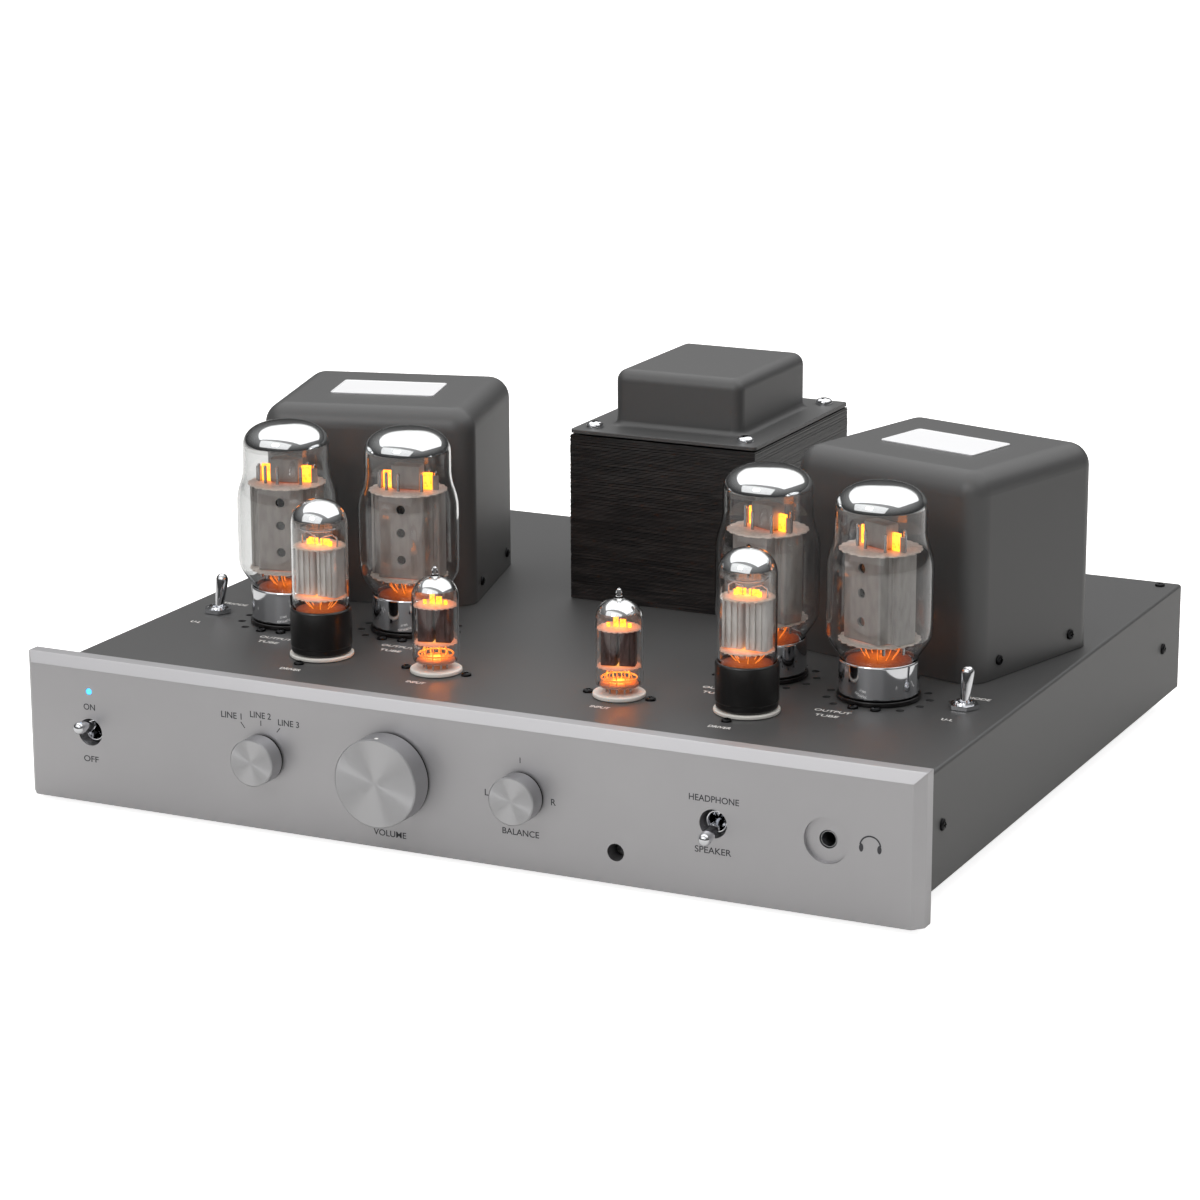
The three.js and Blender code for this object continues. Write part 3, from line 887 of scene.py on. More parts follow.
class Form:
    """A mesh being shaped, in millimetres."""

    def __init__(self) -> None:
        """Start with no faces."""
        self.mesh = bmesh.new()

    def skin(self, rings: Iterable, first: bool = True, last: bool = True, at: Matrix = HERE) -> Form:
        """Stretch a skin over rings that have the same number of points.

        Args:
            rings: The rings, each a list of points.
            first: Whether the first ring is capped.
            last: Whether the last ring is capped.
            at: Where the shape goes.

        Returns:
            This form.
        """
        rows = [[self.mesh.verts.new(at @ Vector(p)) for p in ring] for ring in rings]
        count = len(rows[0])
        for low, high in zip(rows, rows[1:]):
            for i in range(count):
                j = (i + 1) % count
                self.mesh.faces.new((low[i], low[j], high[j], high[i]))
        if first:
            self.mesh.faces.new(rows[0][::-1])
        if last:
            self.mesh.faces.new(rows[-1])
        return self

    def lathe(self, profile: Profile, segments: int = 64, at: Matrix = HERE) -> Form:
        """Turn a profile of radius and height pairs about Z.

        Args:
            profile: The pairs, in order along the surface.
            segments: Facets round the axis.
            at: Where the shape goes.

        Returns:
            This form.
        """
        rows = []
        for radius, height in profile:
            count = segments if radius > 1e-4 else 1
            ring = [2 * math.pi * i / count for i in range(count)]
            points = [Vector((radius * math.cos(a), radius * math.sin(a), height)) for a in ring]
            rows.append([self.mesh.verts.new(at @ point) for point in points])
        for low, high in zip(rows, rows[1:]):
            for i in range(segments):
                j = (i + 1) % segments
                around = (low[i % len(low)], low[j % len(low)], high[j % len(high)], high[i % len(high)])
                corners = list(dict.fromkeys(around))
                if len(corners) > 2:
                    self.mesh.faces.new(corners)
        if profile[0] == profile[-1]:
            bmesh.ops.remove_doubles(self.mesh, verts=self.mesh.verts, dist=1e-4)
        return self

    def prism(self, outline: Profile, low: float, high: float, at: Matrix = HERE) -> Form:
        """Raise a flat outline from one height to another."""
        return self.skin([[(x, y, z) for x, y in outline] for z in (low, high)], at=at)

    def box(self, low: Place, high: Place, at: Matrix = HERE) -> Form:
        """Add a box between two corners."""
        (x0, y0, z0), (x1, y1, z1) = low, high
        return self.prism([(x0, y0), (x1, y0), (x1, y1), (x0, y1)], z0, z1, at)

    def rod(self, radius: float, low: float, high: float, segments: int = 32, at: Matrix = HERE) -> Form:
        """Add a plain rod along Z."""
        return self.lathe([(0, low), (radius, low), (radius, high), (0, high)], segments, at)

    def wire(
        self, path: Sequence[Place], radius: float, sides: int = 8, closed: bool = False, at: Matrix = HERE
    ) -> Form:
        """Run a round wire along a path.

        Args:
            path: The points it follows.
            radius: Its radius.
            sides: Facets round it.
            closed: Whether the last point joins the first.
            at: Where the shape goes.

        Returns:
            This form.
        """
        points = [Vector(p) for p in path]
        count = len(points)
        rings = []
        side = None
        for i, point in enumerate(points):
            after = points[(i + 1) % count] if closed or i + 1 < count else point
            before = points[i - 1] if closed or i > 0 else point
            along = (after - before).normalized()
            if side is None:
                side = along.orthogonal().normalized()
            side = (side - along * side.dot(along)).normalized()
            other = along.cross(side)
            angles = [2 * math.pi * k / sides for k in range(sides)]
            rings.append(
                [point + side * radius * math.cos(a) + other * radius * math.sin(a) for a in angles]
            )
        if closed:
            rings.append(rings[0])
        self.skin(rings, not closed, not closed, at)
        if closed:
            bmesh.ops.remove_doubles(self.mesh, verts=self.mesh.verts, dist=1e-4)
        return self

    def stamp(self, other: Form, places: Iterable[Matrix]) -> Form:
        """Copy another form into this one at each place.

        Args:
            other: The form to copy; it is used up.
            places: Where the copies go.

        Returns:
            This form.
        """
        data = bpy.data.meshes.new("scratch")
        bmesh.ops.recalc_face_normals(other.mesh, faces=other.mesh.faces)
        other.mesh.to_mesh(data)
        other.mesh.free()
        for place in places:
            copy = data.copy()
            copy.transform(place)
            self.mesh.from_mesh(copy)
            bpy.data.meshes.remove(copy)
        bpy.data.meshes.remove(data)
        return self

    def shell(self, outer: Sequence, inner: Sequence) -> Form:
        """Close a can from its outer and inner sections, both from the foot up.

        Args:
            outer: Sections of the outer face.
            inner: Sections of the inner face.

        Returns:
            This form.
        """
        self.skin(outer, first=False)
        self.skin(inner, first=False)
        count = len(outer[0])
        bottom = [[self.mesh.verts.new(Vector(p)) for p in ring] for ring in (outer[0], inner[0])]
        for i in range(count):
            j = (i + 1) % count
            self.mesh.faces.new((bottom[0][i], bottom[0][j], bottom[1][j], bottom[1][i]))
        bmesh.ops.remove_doubles(self.mesh, verts=self.mesh.verts, dist=1e-4)
        return self

    def cut_by(self, tool: Form) -> Form:
        """Cut this form by another closed one.

        Args:
            tool: The form to take away; it is used up.

        Returns:
            This form, cut.
        """
        scratch = []
        for form in (self, tool):
            bmesh.ops.recalc_face_normals(form.mesh, faces=form.mesh.faces)
            data = bpy.data.meshes.new("scratch")
            form.mesh.to_mesh(data)
            form.mesh.free()
            scratch.append(bpy.data.objects.new("scratch", data))
            bpy.context.scene.collection.objects.link(scratch[-1])
        step = scratch[0].modifiers.new("cut", "BOOLEAN")
        step.operation = "DIFFERENCE"
        step.solver = "EXACT"
        step.object = scratch[1]
        bpy.context.view_layer.update()
        graph = bpy.context.evaluated_depsgraph_get()
        self.mesh = bmesh.new()
        self.mesh.from_mesh(scratch[0].evaluated_get(graph).data)
        for item in scratch:
            data = item.data
            bpy.data.objects.remove(item)
            bpy.data.meshes.remove(data)
        return self

    def ease_edges(self, width: float, segments: int = 2, sharper_than: float = 30.0) -> Form:
        """Take the sharpness off every edge that bends more than an angle.

        Args:
            width: Width of the eased edge.
            segments: Facets across it.
            sharper_than: The angle, in degrees.

        Returns:
            This form.
        """
        bmesh.ops.remove_doubles(self.mesh, verts=self.mesh.verts, dist=1e-4)
        limit = math.radians(sharper_than)
        edges = [e for e in self.mesh.edges if len(e.link_faces) == 2 and e.calc_face_angle(0) > limit]
        bmesh.ops.bevel(
            self.mesh,
            geom=edges,
            offset=width,
            segments=segments,
            profile=0.5,
            affect="EDGES",
            clamp_overlap=True,
        )
        return self


@dataclass(frozen=True)
class Fit:
    """How a piece joins the frame.

    Attributes:
        body: The CAD body that it rides on.
        slot: The record's material slot.
        nodes: The CAD nodes that it stands for.
        crease: Edges bent more than this many degrees stay sharp.
        even: Whether large flat faces keep flat shading beside small rounded ones.
    """

    body: str = BODY
    # slot: The record's material slot; not used.
    slot: str = ""
    nodes: tuple[str, ...] = ()
    crease: float = 38.0
    even: bool = False


def make_piece(
    name: str, form: Form, finish: Finish | Stock, fit: Fit, at: Matrix = HERE
) -> bpy.types.Object:
    """Turn a form into a dressed piece that rides on its body.

    Args:
        name: The piece's name.
        form: The form, in millimetres in its own frame; it is used up.
        finish: Its finish.
        fit: How it joins the frame.
        at: Where its own frame stands, in millimetres.

    Returns:
        The new object.
    """
    bmesh.ops.recalc_face_normals(form.mesh, faces=form.mesh.faces)
    form.mesh.transform(Matrix.Scale(MM, 4))
    data = bpy.data.meshes.new(name)
    form.mesh.to_mesh(data)
    form.mesh.free()
    data.polygons.foreach_set("use_smooth", [True] * len(data.polygons))
    data.set_sharp_from_angle(angle=math.radians(fit.crease))
    data.materials.append((finish.value if isinstance(finish, Stock) else finish).material())
    piece = bpy.data.objects.new(name, data)
    bpy.context.scene.collection.objects.link(piece)
    place, turn, _ = at.decompose()
    piece.matrix_world = Matrix.Translation(place * MM) @ turn.to_matrix().to_4x4()
    if fit.even:
        weighted = piece.modifiers.new("even_shading", "WEIGHTED_NORMAL")
        weighted.keep_sharp = True
    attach(piece, fit.body)
    if fit.nodes:
        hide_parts(*fit.nodes)
    return piece


def node_box(name: str) -> tuple[Vector, Vector]:
    """Lowest and highest corner of a CAD node, in millimetres."""
    low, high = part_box(name)
    return low / MM, high / MM


def node_centre(name: str) -> Vector:
    """Middle of a CAD node's box, in millimetres."""
    low, high = node_box(name)
    return (low + high) / 2


def joint_point(name: str) -> Vector:
    """Pivot of a joint, in millimetres."""
    joint = next(j for j in frame["joints"] if j["name"] == name)
    return Vector(joint["pos_m"]) / MM


DECK = node_box("chassis_top")[1].z
PANEL_LOW, PANEL_HIGH = node_box("front_panel")
FACE_Y = PANEL_LOW.y


# ---- shared hardware --------------------------------------------------------------------


@dataclass
class PanScrew:
    """A pan-head machine screw with a cross recess, its seat at Z = 0.

    Attributes:
        radius: Radius of the head.
        height: Height of the head.
    """

    radius: float = 2.6
    height: float = 1.7

    def form(self) -> Form:
        """Shape the head and cut its recess.

        Returns:
            The head.
        """
        edge = self.radius
        head = Form().lathe(
            [(0, 0), (edge, 0), (edge, 0.35), *dome(edge, 0.35, self.height, 2.6, 7)[1:]], 24
        )
        wide, deep = edge * 0.16, self.height * 0.45
        cross = Form()
        cross.box((-edge * 0.55, -wide, deep), (edge * 0.55, wide, self.height + 1))
        head.cut_by(cross)
        cross = Form().box((-wide, -edge * 0.55, deep), (wide, edge * 0.55, self.height + 1))
        return head.cut_by(cross)

    def place(self, name: str, finish: Stock, spots: Sequence[Matrix], slot: str) -> bpy.types.Object:
        """Set one head at each spot, as a single piece.

        Args:
            name: The piece's name.
            finish: Its finish.
            spots: Where the heads go.
            slot: The record's material slot.

        Returns:
            The new object.
        """
        return make_piece(name, Form().stamp(self.form(), spots), finish, Fit(slot=slot, crease=28.0))


def front(x: float, z: float, depth: float = 0.0) -> Matrix:
    """Frame on the panel's face: X right, Y up, Z towards someone who faces the amplifier."""
    return facing((x, FACE_Y + depth, z), (0, -1, 0))


# ---- casing -----------------------------------------------------------------------------


@dataclass
class FrontPanel:
    """Thick aluminium front plate with its bevel, its holes and the headphone dish."""

    bevel: float = 4.4
    bevel_depth: float = 5.0
    ease: float = 0.35
    switch_hole: float = 6.6
    spindle_hole: float = 5.0
    sensor: tuple[float, float, float] = (83.7, 18.0, 4.1)
    lamp: tuple[float, float, float] = (-192.0, 58.0, 1.6)
    dish: float = 10.6
    dish_depth: float = 2.2
    socket_hole: float = 4.2

    def build(self) -> list[bpy.types.Object]:
        """Build the plate.

        Returns:
            The plate.
        """
        half, high = PANEL_HIGH.x, PANEL_HIGH.z
        low, back = PANEL_LOW.z, PANEL_HIGH.y
        rings = []
        for y, inset in ((FACE_Y, self.bevel), (FACE_Y + self.bevel_depth, 0), (back, 0)):
            x, z = half - inset, high - inset
            rings.append([(-x, y, low), (-x, y, z), (x, y, z), (x, y, low)])
        plate = Form().skin(rings).ease_edges(self.ease, 2)
        drills = Form()
        across = [
            (node_centre(n).x, self.switch_hole) for n in ("power_switch_case", "headphone_switch_case")
        ]
        across += [
            (node_centre(n).x, self.spindle_hole) for n in ("selector_knob", "volume_knob", "balance_knob")
        ]
        level = node_centre("volume_knob").z
        for x, radius in across:
            drills.rod(radius, -20, 5, 64, front(x, level))
        for x, z, radius in (self.sensor, self.lamp):
            drills.rod(radius, -20, 5, 48, front(x, z))
        deep = self.dish_depth
        steps = [(0, 5), (self.dish, 5), (self.dish, -deep), (self.socket_hole, -deep)]
        drills.lathe(
            [*steps, (self.socket_hole, -20), (0, -20)], 72, front(node_centre("headphone_jack").x, level)
        )
        plate.cut_by(drills)
        fit = Fit(slot="panel_aluminium", nodes=("front_panel",), crease=20.0, even=True)
        return [make_piece("front_plate", plate, Stock.PANEL, fit)]


@dataclass
class Chassis:
    """Folded steel chassis with the tubes' vent holes, its screws, its floor and its feet."""

    sheet: float = 1.6
    fold: float = 1.7
    vent_ring: float = 24.0
    vent_radius: float = 2.0
    vent_count: int = 13
    vent_start: float = -155.0
    vent_step: float = 27.7
    screw_angles: tuple[float, ...] = (-100.0, -72.0)
    screw_ring: float = 22.4
    power_hole: float = 16.2
    driver_hole: float = 13.4
    input_hole: float = 10.6
    switch_hole: float = 5.5
    coil_hole: tuple[float, float] = (36.0, 41.0)
    slot: tuple[float, float] = (10.0, 2.2)
    slot_pitch: tuple[float, float] = (32.0, 34.0)

    def build(self) -> list[bpy.types.Object]:
        """Build the shell, its screws, the floor and the feet.

        Returns:
            The pieces.
        """
        return [self.shell(), *self.screws(), *self.floor()]

    def vents(self, centre: Vector) -> list[tuple[float, float]]:
        """Space the vent holes round one power tube, leaving out those that screws take.

        Args:
            centre: Middle of the tube's socket.

        Returns:
            The holes' centres.
        """
        spots = []
        for i in range(self.vent_count):
            angle = self.vent_start + self.vent_step * i
            if all(abs((angle - a + 180) % 360 - 180) > 12 for a in self.screw_angles):
                a = math.radians(angle)
                spots.append(
                    (centre.x + self.vent_ring * math.cos(a), centre.y + self.vent_ring * math.sin(a))
                )
        return spots

    def shell(self) -> bpy.types.Object:
        """Fold the deck, sides and rear from one sheet and pierce it.

        Returns:
            The shell.
        """
        low, high = node_box("chassis_top")
        foot = node_box("chassis_rear")[0].z
        body = Form().box((low.x, low.y, foot - 5), (high.x, high.y, high.z)).ease_edges(self.fold, 4)
        body.cut_by(Form().box((low.x - 9, low.y - 9, foot - 20), (high.x + 9, high.y + 9, foot)))
        t = self.sheet
        body.cut_by(Form().box((low.x + t, low.y - 9, foot - 9), (high.x - t, high.y - t, high.z - t)))
        holes = Form()
        rods = []
        for i in range(1, 5):
            centre = node_centre(f"power_tube_{i}_socket")
            rods.append((centre.x, centre.y, self.power_hole, 48))
            rods += [(x, y, self.vent_radius, 20) for x, y in self.vents(centre)]
        for i in (1, 2):
            driver, small = node_centre(f"driver_tube_{i}_socket"), node_centre(f"input_tube_{i}_socket")
            rods.append((driver.x, driver.y, self.driver_hole, 48))
            rods.append((small.x, small.y, self.input_hole, 40))
        for side in ("left", "right"):
            switch = joint_point(f"mode_switch_{side}_throw")
            rods.append((switch.x, switch.y, self.switch_hole, 32))
        for x, y, radius, segments in rods:
            holes.rod(radius, high.z - 5, high.z + 5, segments, shift(x, y, 0))
        core = node_centre("power_transformer_core")
        dx, dy = self.coil_hole
        holes.box((core.x - dx, core.y - dy, high.z - 5), (core.x + dx, core.y + dy, high.z + 5))
        for node, margin in (("mains_inlet", -6.0), ("speaker_terminals", -4.0), ("input_jacks", -4.0)):
            near, far = node_box(node)
            holes.box(
                (near.x - margin, high.y - 5, near.z - margin), (far.x + margin, high.y + 5, far.z + margin)
            )
        body.cut_by(holes)
        nodes = ("chassis_top", "chassis_side_left", "chassis_side_right", "chassis_rear")
        fit = Fit(slot="black_powder_coat", nodes=nodes, crease=30.0, even=True)
        return make_piece("chassis_shell", body, Stock.COAT, fit)

    def screws(self) -> list[bpy.types.Object]:
        """Set the black screws of the sockets and of the chassis corners.

        Returns:
            The pieces.
        """
        spots = []
        for i in range(1, 5):
            centre = node_centre(f"power_tube_{i}_socket")
            for angle in self.screw_angles:
                a = math.radians(angle)
                x, y = centre.x + self.screw_ring * math.cos(a), centre.y + self.screw_ring * math.sin(a)
                spots.append(shift(x, y, DECK + 0.02))
        for i in (1, 2):
            driver, small = node_centre(f"driver_tube_{i}_socket"), node_centre(f"input_tube_{i}_socket")
            spots += [
                shift(driver.x - 2, driver.y - 18.4, DECK), shift(driver.x + 2, driver.y + 18.4, DECK)
            ]
            spots += [shift(small.x - 16, small.y, DECK), shift(small.x + 16, small.y, DECK)]
        low, high = node_box("chassis_top")
        spots += [shift(low.x + 9, high.y - 9, DECK), shift(high.x - 9, high.y - 9, DECK)]
        deck = PanScrew(2.5, 1.5).place("deck_screws", Stock.BLACKED_STEEL, spots, "black_powder_coat")
        middle = (node_box("chassis_rear")[0].z + DECK) / 2
        wall = [
            facing((x, y, middle), (x, 0, 0)) for x in (low.x, high.x) for y in (low.y + 30, high.y - 30)
        ]
        wall += [facing((x, high.y, z), (0, 1, 0)) for x in (low.x + 12, high.x - 12) for z in (20, 56)]
        side = PanScrew(2.8, 1.6).place("wall_screws", Stock.BLACKED_STEEL, wall, "black_powder_coat")
        return [deck, side]

    def floor(self) -> list[bpy.types.Object]:
        """Build the slotted bottom plate and the four rubber feet.

        Returns:
            The pieces.
        """
        low, high = node_box("bottom_cover")
        plate = Form().box(low, high).ease_edges(0.3, 1)
        slots = Form()
        (dx, dy), (step_x, step_y) = self.slot, self.slot_pitch
        for row in range(7):
            for column in range(9):
                x = (column - 4) * step_x
                y = low.y + 70 + row * step_y
                slots.box((x - dx, y - dy, low.z - 5), (x + dx, y + dy, high.z + 5))
        plate.cut_by(slots)
        fit = Fit(slot="black_powder_coat", nodes=("bottom_cover",), crease=30.0, even=True)
        pieces = [make_piece("bottom_plate", plate, Stock.COAT, fit)]
        for end in ("front", "rear"):
            for side in ("left", "right"):
                node = f"foot_{end}_{side}"
                low, high = node_box(node)
                tall = high.z - low.z
                outline = [
                    (0, 1.2),
                    (6, 1.2),
                    (6.6, 0),
                    (11, 0),
                    (12.6, 1.2),
                    (14, tall - 0.6),
                    (13.6, tall),
                    (0, tall),
                ]
                centre = node_centre(node)
                foot = Form().lathe(soften(outline, 0.7), 56)
                fit = Fit(slot="rubber", nodes=(node,))
                pieces.append(
                    make_piece(f"rubber_{node}", foot, Stock.RUBBER, fit, shift(centre.x, centre.y, low.z))
                )
        return pieces


# ---- transformers -----------------------------------------------------------------------


@dataclass
class PowerTransformer:
    """Open lamination stack with a drawn bell on top, held by four long screws."""

    sheet: float = 0.7
    sheet_gap: float = 0.12
    jitter: float = 0.24
    odd_share: float = 0.12
    odd_inset: float = 0.12
    coil: tuple[float, float] = (31.5, 37.5)
    coil_rise: float = 24.0
    bell: tuple[float, float] = (35.0, 42.0)
    flange: float = 1.8
    flare: float = 3.2
    bell_round: float = 6.0
    screw_inset: float = 9.5

    def build(self) -> list[bpy.types.Object]:
        """Build the stack, the coil, the bell and the screws.

        Returns:
            The pieces.
        """
        low, _ = node_box("power_transformer_core")
        seat, _ = node_box("power_transformer_bell")
        middle = node_centre("power_transformer_bell")
        half_x, half_y = middle.x - seat.x, middle.y - seat.y
        stack = self.laminations(half_x, half_y, seat.z - DECK)
        at = shift(middle.x, middle.y, DECK)
        fit = Fit(slot="lamination_steel", nodes=("power_transformer_core",), crease=20.0)
        pieces = [make_piece("lamination_stack", stack, Stock.LAMINATIONS, fit, at)]
        cx, cy = self.coil
        coil = Form().skin(
            [rounded_ring(cx, cy, 5, z) for z in (low.z - DECK, seat.z - DECK + self.coil_rise)]
        )
        pieces.append(
            make_piece(
                "transformer_coil", coil.ease_edges(0.8, 2), Stock.PAPER, Fit(slot="lamination_steel"), at
            )
        )
        pieces.append(self.end_bell(half_x, half_y, shift(middle.x, middle.y, seat.z)))
        dx, dy = half_x - self.screw_inset, half_y - self.screw_inset
        spots = [
            shift(middle.x + sx * dx, middle.y + sy * dy, seat.z + self.flange)
            for sx in (-1, 1)
            for sy in (-1, 1)
        ]
        pieces.append(
            PanScrew(4.4, 3.2).place("transformer_screws", Stock.CHROME, spots, "black_powder_coat")
        )
        return pieces

    def laminations(self, half_x: float, half_y: float, height: float) -> Form:
        """Stack stamped sheets whose edges don't quite line up.

        Args:
            half_x: Half the stack's width.
            half_y: Half its depth.
            height: Its height.

        Returns:
            The stack.
        """
        rng = random.Random(17)
        stack = Form()
        count = int((height - 0.5) / self.sheet)
        for i in range(count):
            z = 0.3 + i * self.sheet
            inset = rng.uniform(0, self.jitter) + (self.odd_inset if rng.random() < self.odd_share else 0)
            x, y = half_x - inset, half_y - rng.uniform(0, self.jitter)
            stack.box((-x, -y, z), (x, y, z + self.sheet - self.sheet_gap))
        return stack

    def end_bell(self, half_x: float, half_y: float, at: Matrix) -> bpy.types.Object:
        """Draw the bell: its flange, its small flare and its can.

        Args:
            half_x: Half the flange's width.
            half_y: Half its depth.
            at: Frame at the flange's underside.

        Returns:
            The bell.
        """
        low, high = node_box("power_transformer_bell")
        top = high.z - low.z
        bx, by = self.bell
        r, t = self.bell_round, self.flange
        rings = [rounded_ring(half_x, half_y, 2.5, z, 8) for z in (0.0, t - 0.25)]
        rings.append(rounded_ring(half_x - 0.25, half_y - 0.25, 2.3, t, 8))
        for i in range(5):
            a = math.pi / 2 * i / 4
            out, up = self.flare * (1 - math.sin(a)), self.flare * (1 - math.cos(a))
            rings.append(rounded_ring(bx + out, by + out, r + out, t + up, 8))
        for i in range(7):
            a = math.pi / 2 * i / 6
            inset = r * (1 - math.cos(a))
            rings.append(
                rounded_ring(bx - inset, by - inset, max(r - inset, 0.3), top - r + r * math.sin(a), 8)
            )
        fit = Fit(slot="black_powder_coat", nodes=("power_transformer_bell",), crease=42.0, even=True)
        return make_piece("transformer_bell", Form().skin(rings), Stock.COAT, fit, at)


@dataclass
class OutputTransformer:
    """Deep-drawn cover over a potted transformer, turned a little on the deck.

    Attributes:
        side: "left" or "right".
    """

    side: str
    width: float = 108.5
    depth: float = 99.0
    height: float = 100.4
    corner: float = 11.0
    wall: float = 1.5
    turn: float = 15.0
    plate: tuple[float, float] = (27.0, 16.0)
    screw_inset: float = 20.0
    screw_height: float = 9.0

    def build(self) -> list[bpy.types.Object]:
        """Build the cover, its screws and its blank nameplate.

        Returns:
            The pieces.
        """
        node = f"output_transformer_cover_{self.side}"
        middle = node_centre(node)
        sign = -1 if self.side == "left" else 1
        at = shift(middle.x, middle.y, DECK) @ turn_z(-sign * self.turn)
        cover = Form().shell(self.rings(0), self.rings(self.wall))
        fit = Fit(slot="black_powder_coat", nodes=(node,), crease=40.0, even=True)
        pieces = [make_piece(f"cover_{self.side}", cover, Stock.COAT, fit, at)]
        spots = []
        for sx in (-1, 1):
            for sy in (-1, 1):
                spot = (sx * self.width / 2, sy * (self.depth / 2 - self.screw_inset), self.screw_height)
                spots.append(at @ facing(spot, (sx, 0, 0)))
        pieces.append(
            PanScrew(2.5, 1.5).place(
                f"cover_screws_{self.side}", Stock.BLACKED_STEEL, spots, "black_powder_coat"
            )
        )
        pieces.append(self.nameplate(at @ shift(0, 0, self.height)))
        return pieces

    def rings(self, inward: float) -> list[list]:
        """Sections of the can from its foot to its top.

        Args:
            inward: How far the surface lies inside the outer one.

        Returns:
            The sections.
        """
        x, y, r = self.width / 2 - inward, self.depth / 2 - inward, self.corner - inward
        top = self.height - inward
        rings = [rounded_ring(x, y, r, 0.3, 10), rounded_ring(x, y, r, top - r - 0.01, 10)]
        for i in range(11):
            a = math.pi / 2 * i / 10
            inset = r * (1 - math.cos(a)) * 0.98
            rings.append(rounded_ring(x - inset, y - inset, r - inset, top - r + r * math.sin(a), 10))
        return rings

    def nameplate(self, at: Matrix) -> bpy.types.Object:
        """Stick a blank plate with a raised border on the cover's top.

        Args:
            at: Frame on the top face.

        Returns:
            The plate.
        """
        x, y = self.plate
        rings = []
        for inset, z in ((0, 0.02), (0, 0.55), (0.15, 0.7), (0.8, 0.7), (1.0, 0.5)):
            rings.append(rounded_ring(x - inset, y - inset, 1.6 - inset, z, 4))
        plate = Form().skin(rings)
        fit = Fit(slot="panel_aluminium", crease=30.0, even=True)
        return make_piece(f"nameplate_{self.side}", plate, Stock.PLATE, fit, at)


# ---- tubes ------------------------------------------------------------------------------


@dataclass(frozen=True)
class Bulb:
    """A blown bulb.

    Attributes:
        outline: Radius and height pairs from the foot to where the dome starts.
        top: Height of the dome's top.
        squareness: Squareness of the dome.
        corner: Rounding of the outline's corners.
        tip: Radius and height pairs of the sealed-off tip, if it shows.
        wall: Thickness of the glass.
    """

    outline: tuple[tuple[float, float], ...]
    top: float
    squareness: float
    corner: float
    tip: tuple[tuple[float, float], ...] = ()
    wall: float = 0.8

    def profile(self, inward: float) -> list[tuple[float, float]]:
        """Draw the glass at a depth inside its outer face.

        Args:
            inward: That depth; the sealed-off tip belongs to the outer face only.

        Returns:
            Radius and height pairs, from the foot to the top.
        """
        body = soften([(r - inward, z) for r, z in self.outline], self.corner, 6)
        radius, low = body[-1]
        cap = dome(radius, low, self.top - inward, self.squareness, 20)[1:]
        if self.tip and inward == 0:
            cap = [(r, z) for r, z in cap if r > self.tip[0][0] * 1.3] + list(self.tip)
        return body + cap

    def shell(self) -> Form:
        """The glass with its inner and outer face."""
        outer, inner = self.profile(0.0), self.profile(self.wall)
        return Form().lathe([*outer, *inner[::-1], outer[0]], 96)

    def film(self, from_height: float) -> Form:
        """A film on the inner face, from a height up."""
        inner = self.profile(self.wall + 0.12)
        return Form().lathe([p for p in inner if p[1] >= from_height], 96)


def toothed(radius: float, teeth: int, depth: float) -> list[tuple[float, float]]:
    """Lay out a stamped mica disc with teeth round its edge.

    Args:
        radius: Radius at the teeth's tips.
        teeth: Number of teeth.
        depth: Depth of the gaps between them.

    Returns:
        The disc's outline.
    """
    points = []
    for i in range(teeth):
        for share, reach in ((0.0, radius - depth), (0.3, radius), (0.6, radius), (0.85, radius - depth)):
            a = 2 * math.pi * (i + share) / teeth
            points.append((reach * math.cos(a), reach * math.sin(a)))
    return points


@dataclass
class Tube:
    """What every tube shares: its number, where it stands and how its pieces are named.

    Attributes:
        number: The tube's number among its kind.
        turn: Angle of its electrodes, in degrees.
        kind: Start of its node names.
    """

    number: int
    turn: float = 0.0
    kind: str = ""

    def node(self, part: str) -> str:
        """Name of one of its CAD nodes."""
        return f"{self.kind}_{self.number}_{part}"

    def at(self, turned: bool = False) -> Matrix:
        """Frame on the deck at its centre."""
        middle = node_centre(self.node("socket"))
        return shift(middle.x, middle.y, DECK) @ turn_z(self.turn if turned else 0)

    def part(
        self, name: str, form: Form, finish: Finish | Stock, slot: str, cad: str = "", crease: float = 38.0
    ) -> bpy.types.Object:
        """Make one piece of the tube.

        Args:
            name: The piece's own name.
            form: Its form.
            finish: Its finish.
            slot: The record's material slot.
            cad: The CAD part that it stands for, if any.
            crease: Edges bent more than this stay sharp.

        Returns:
            The new object.
        """
        nodes = (self.node(cad),) if cad else ()
        fit = Fit(slot=slot, nodes=nodes, crease=crease)
        return make_piece(self.node(name), form, finish, fit, self.at(turned=True))


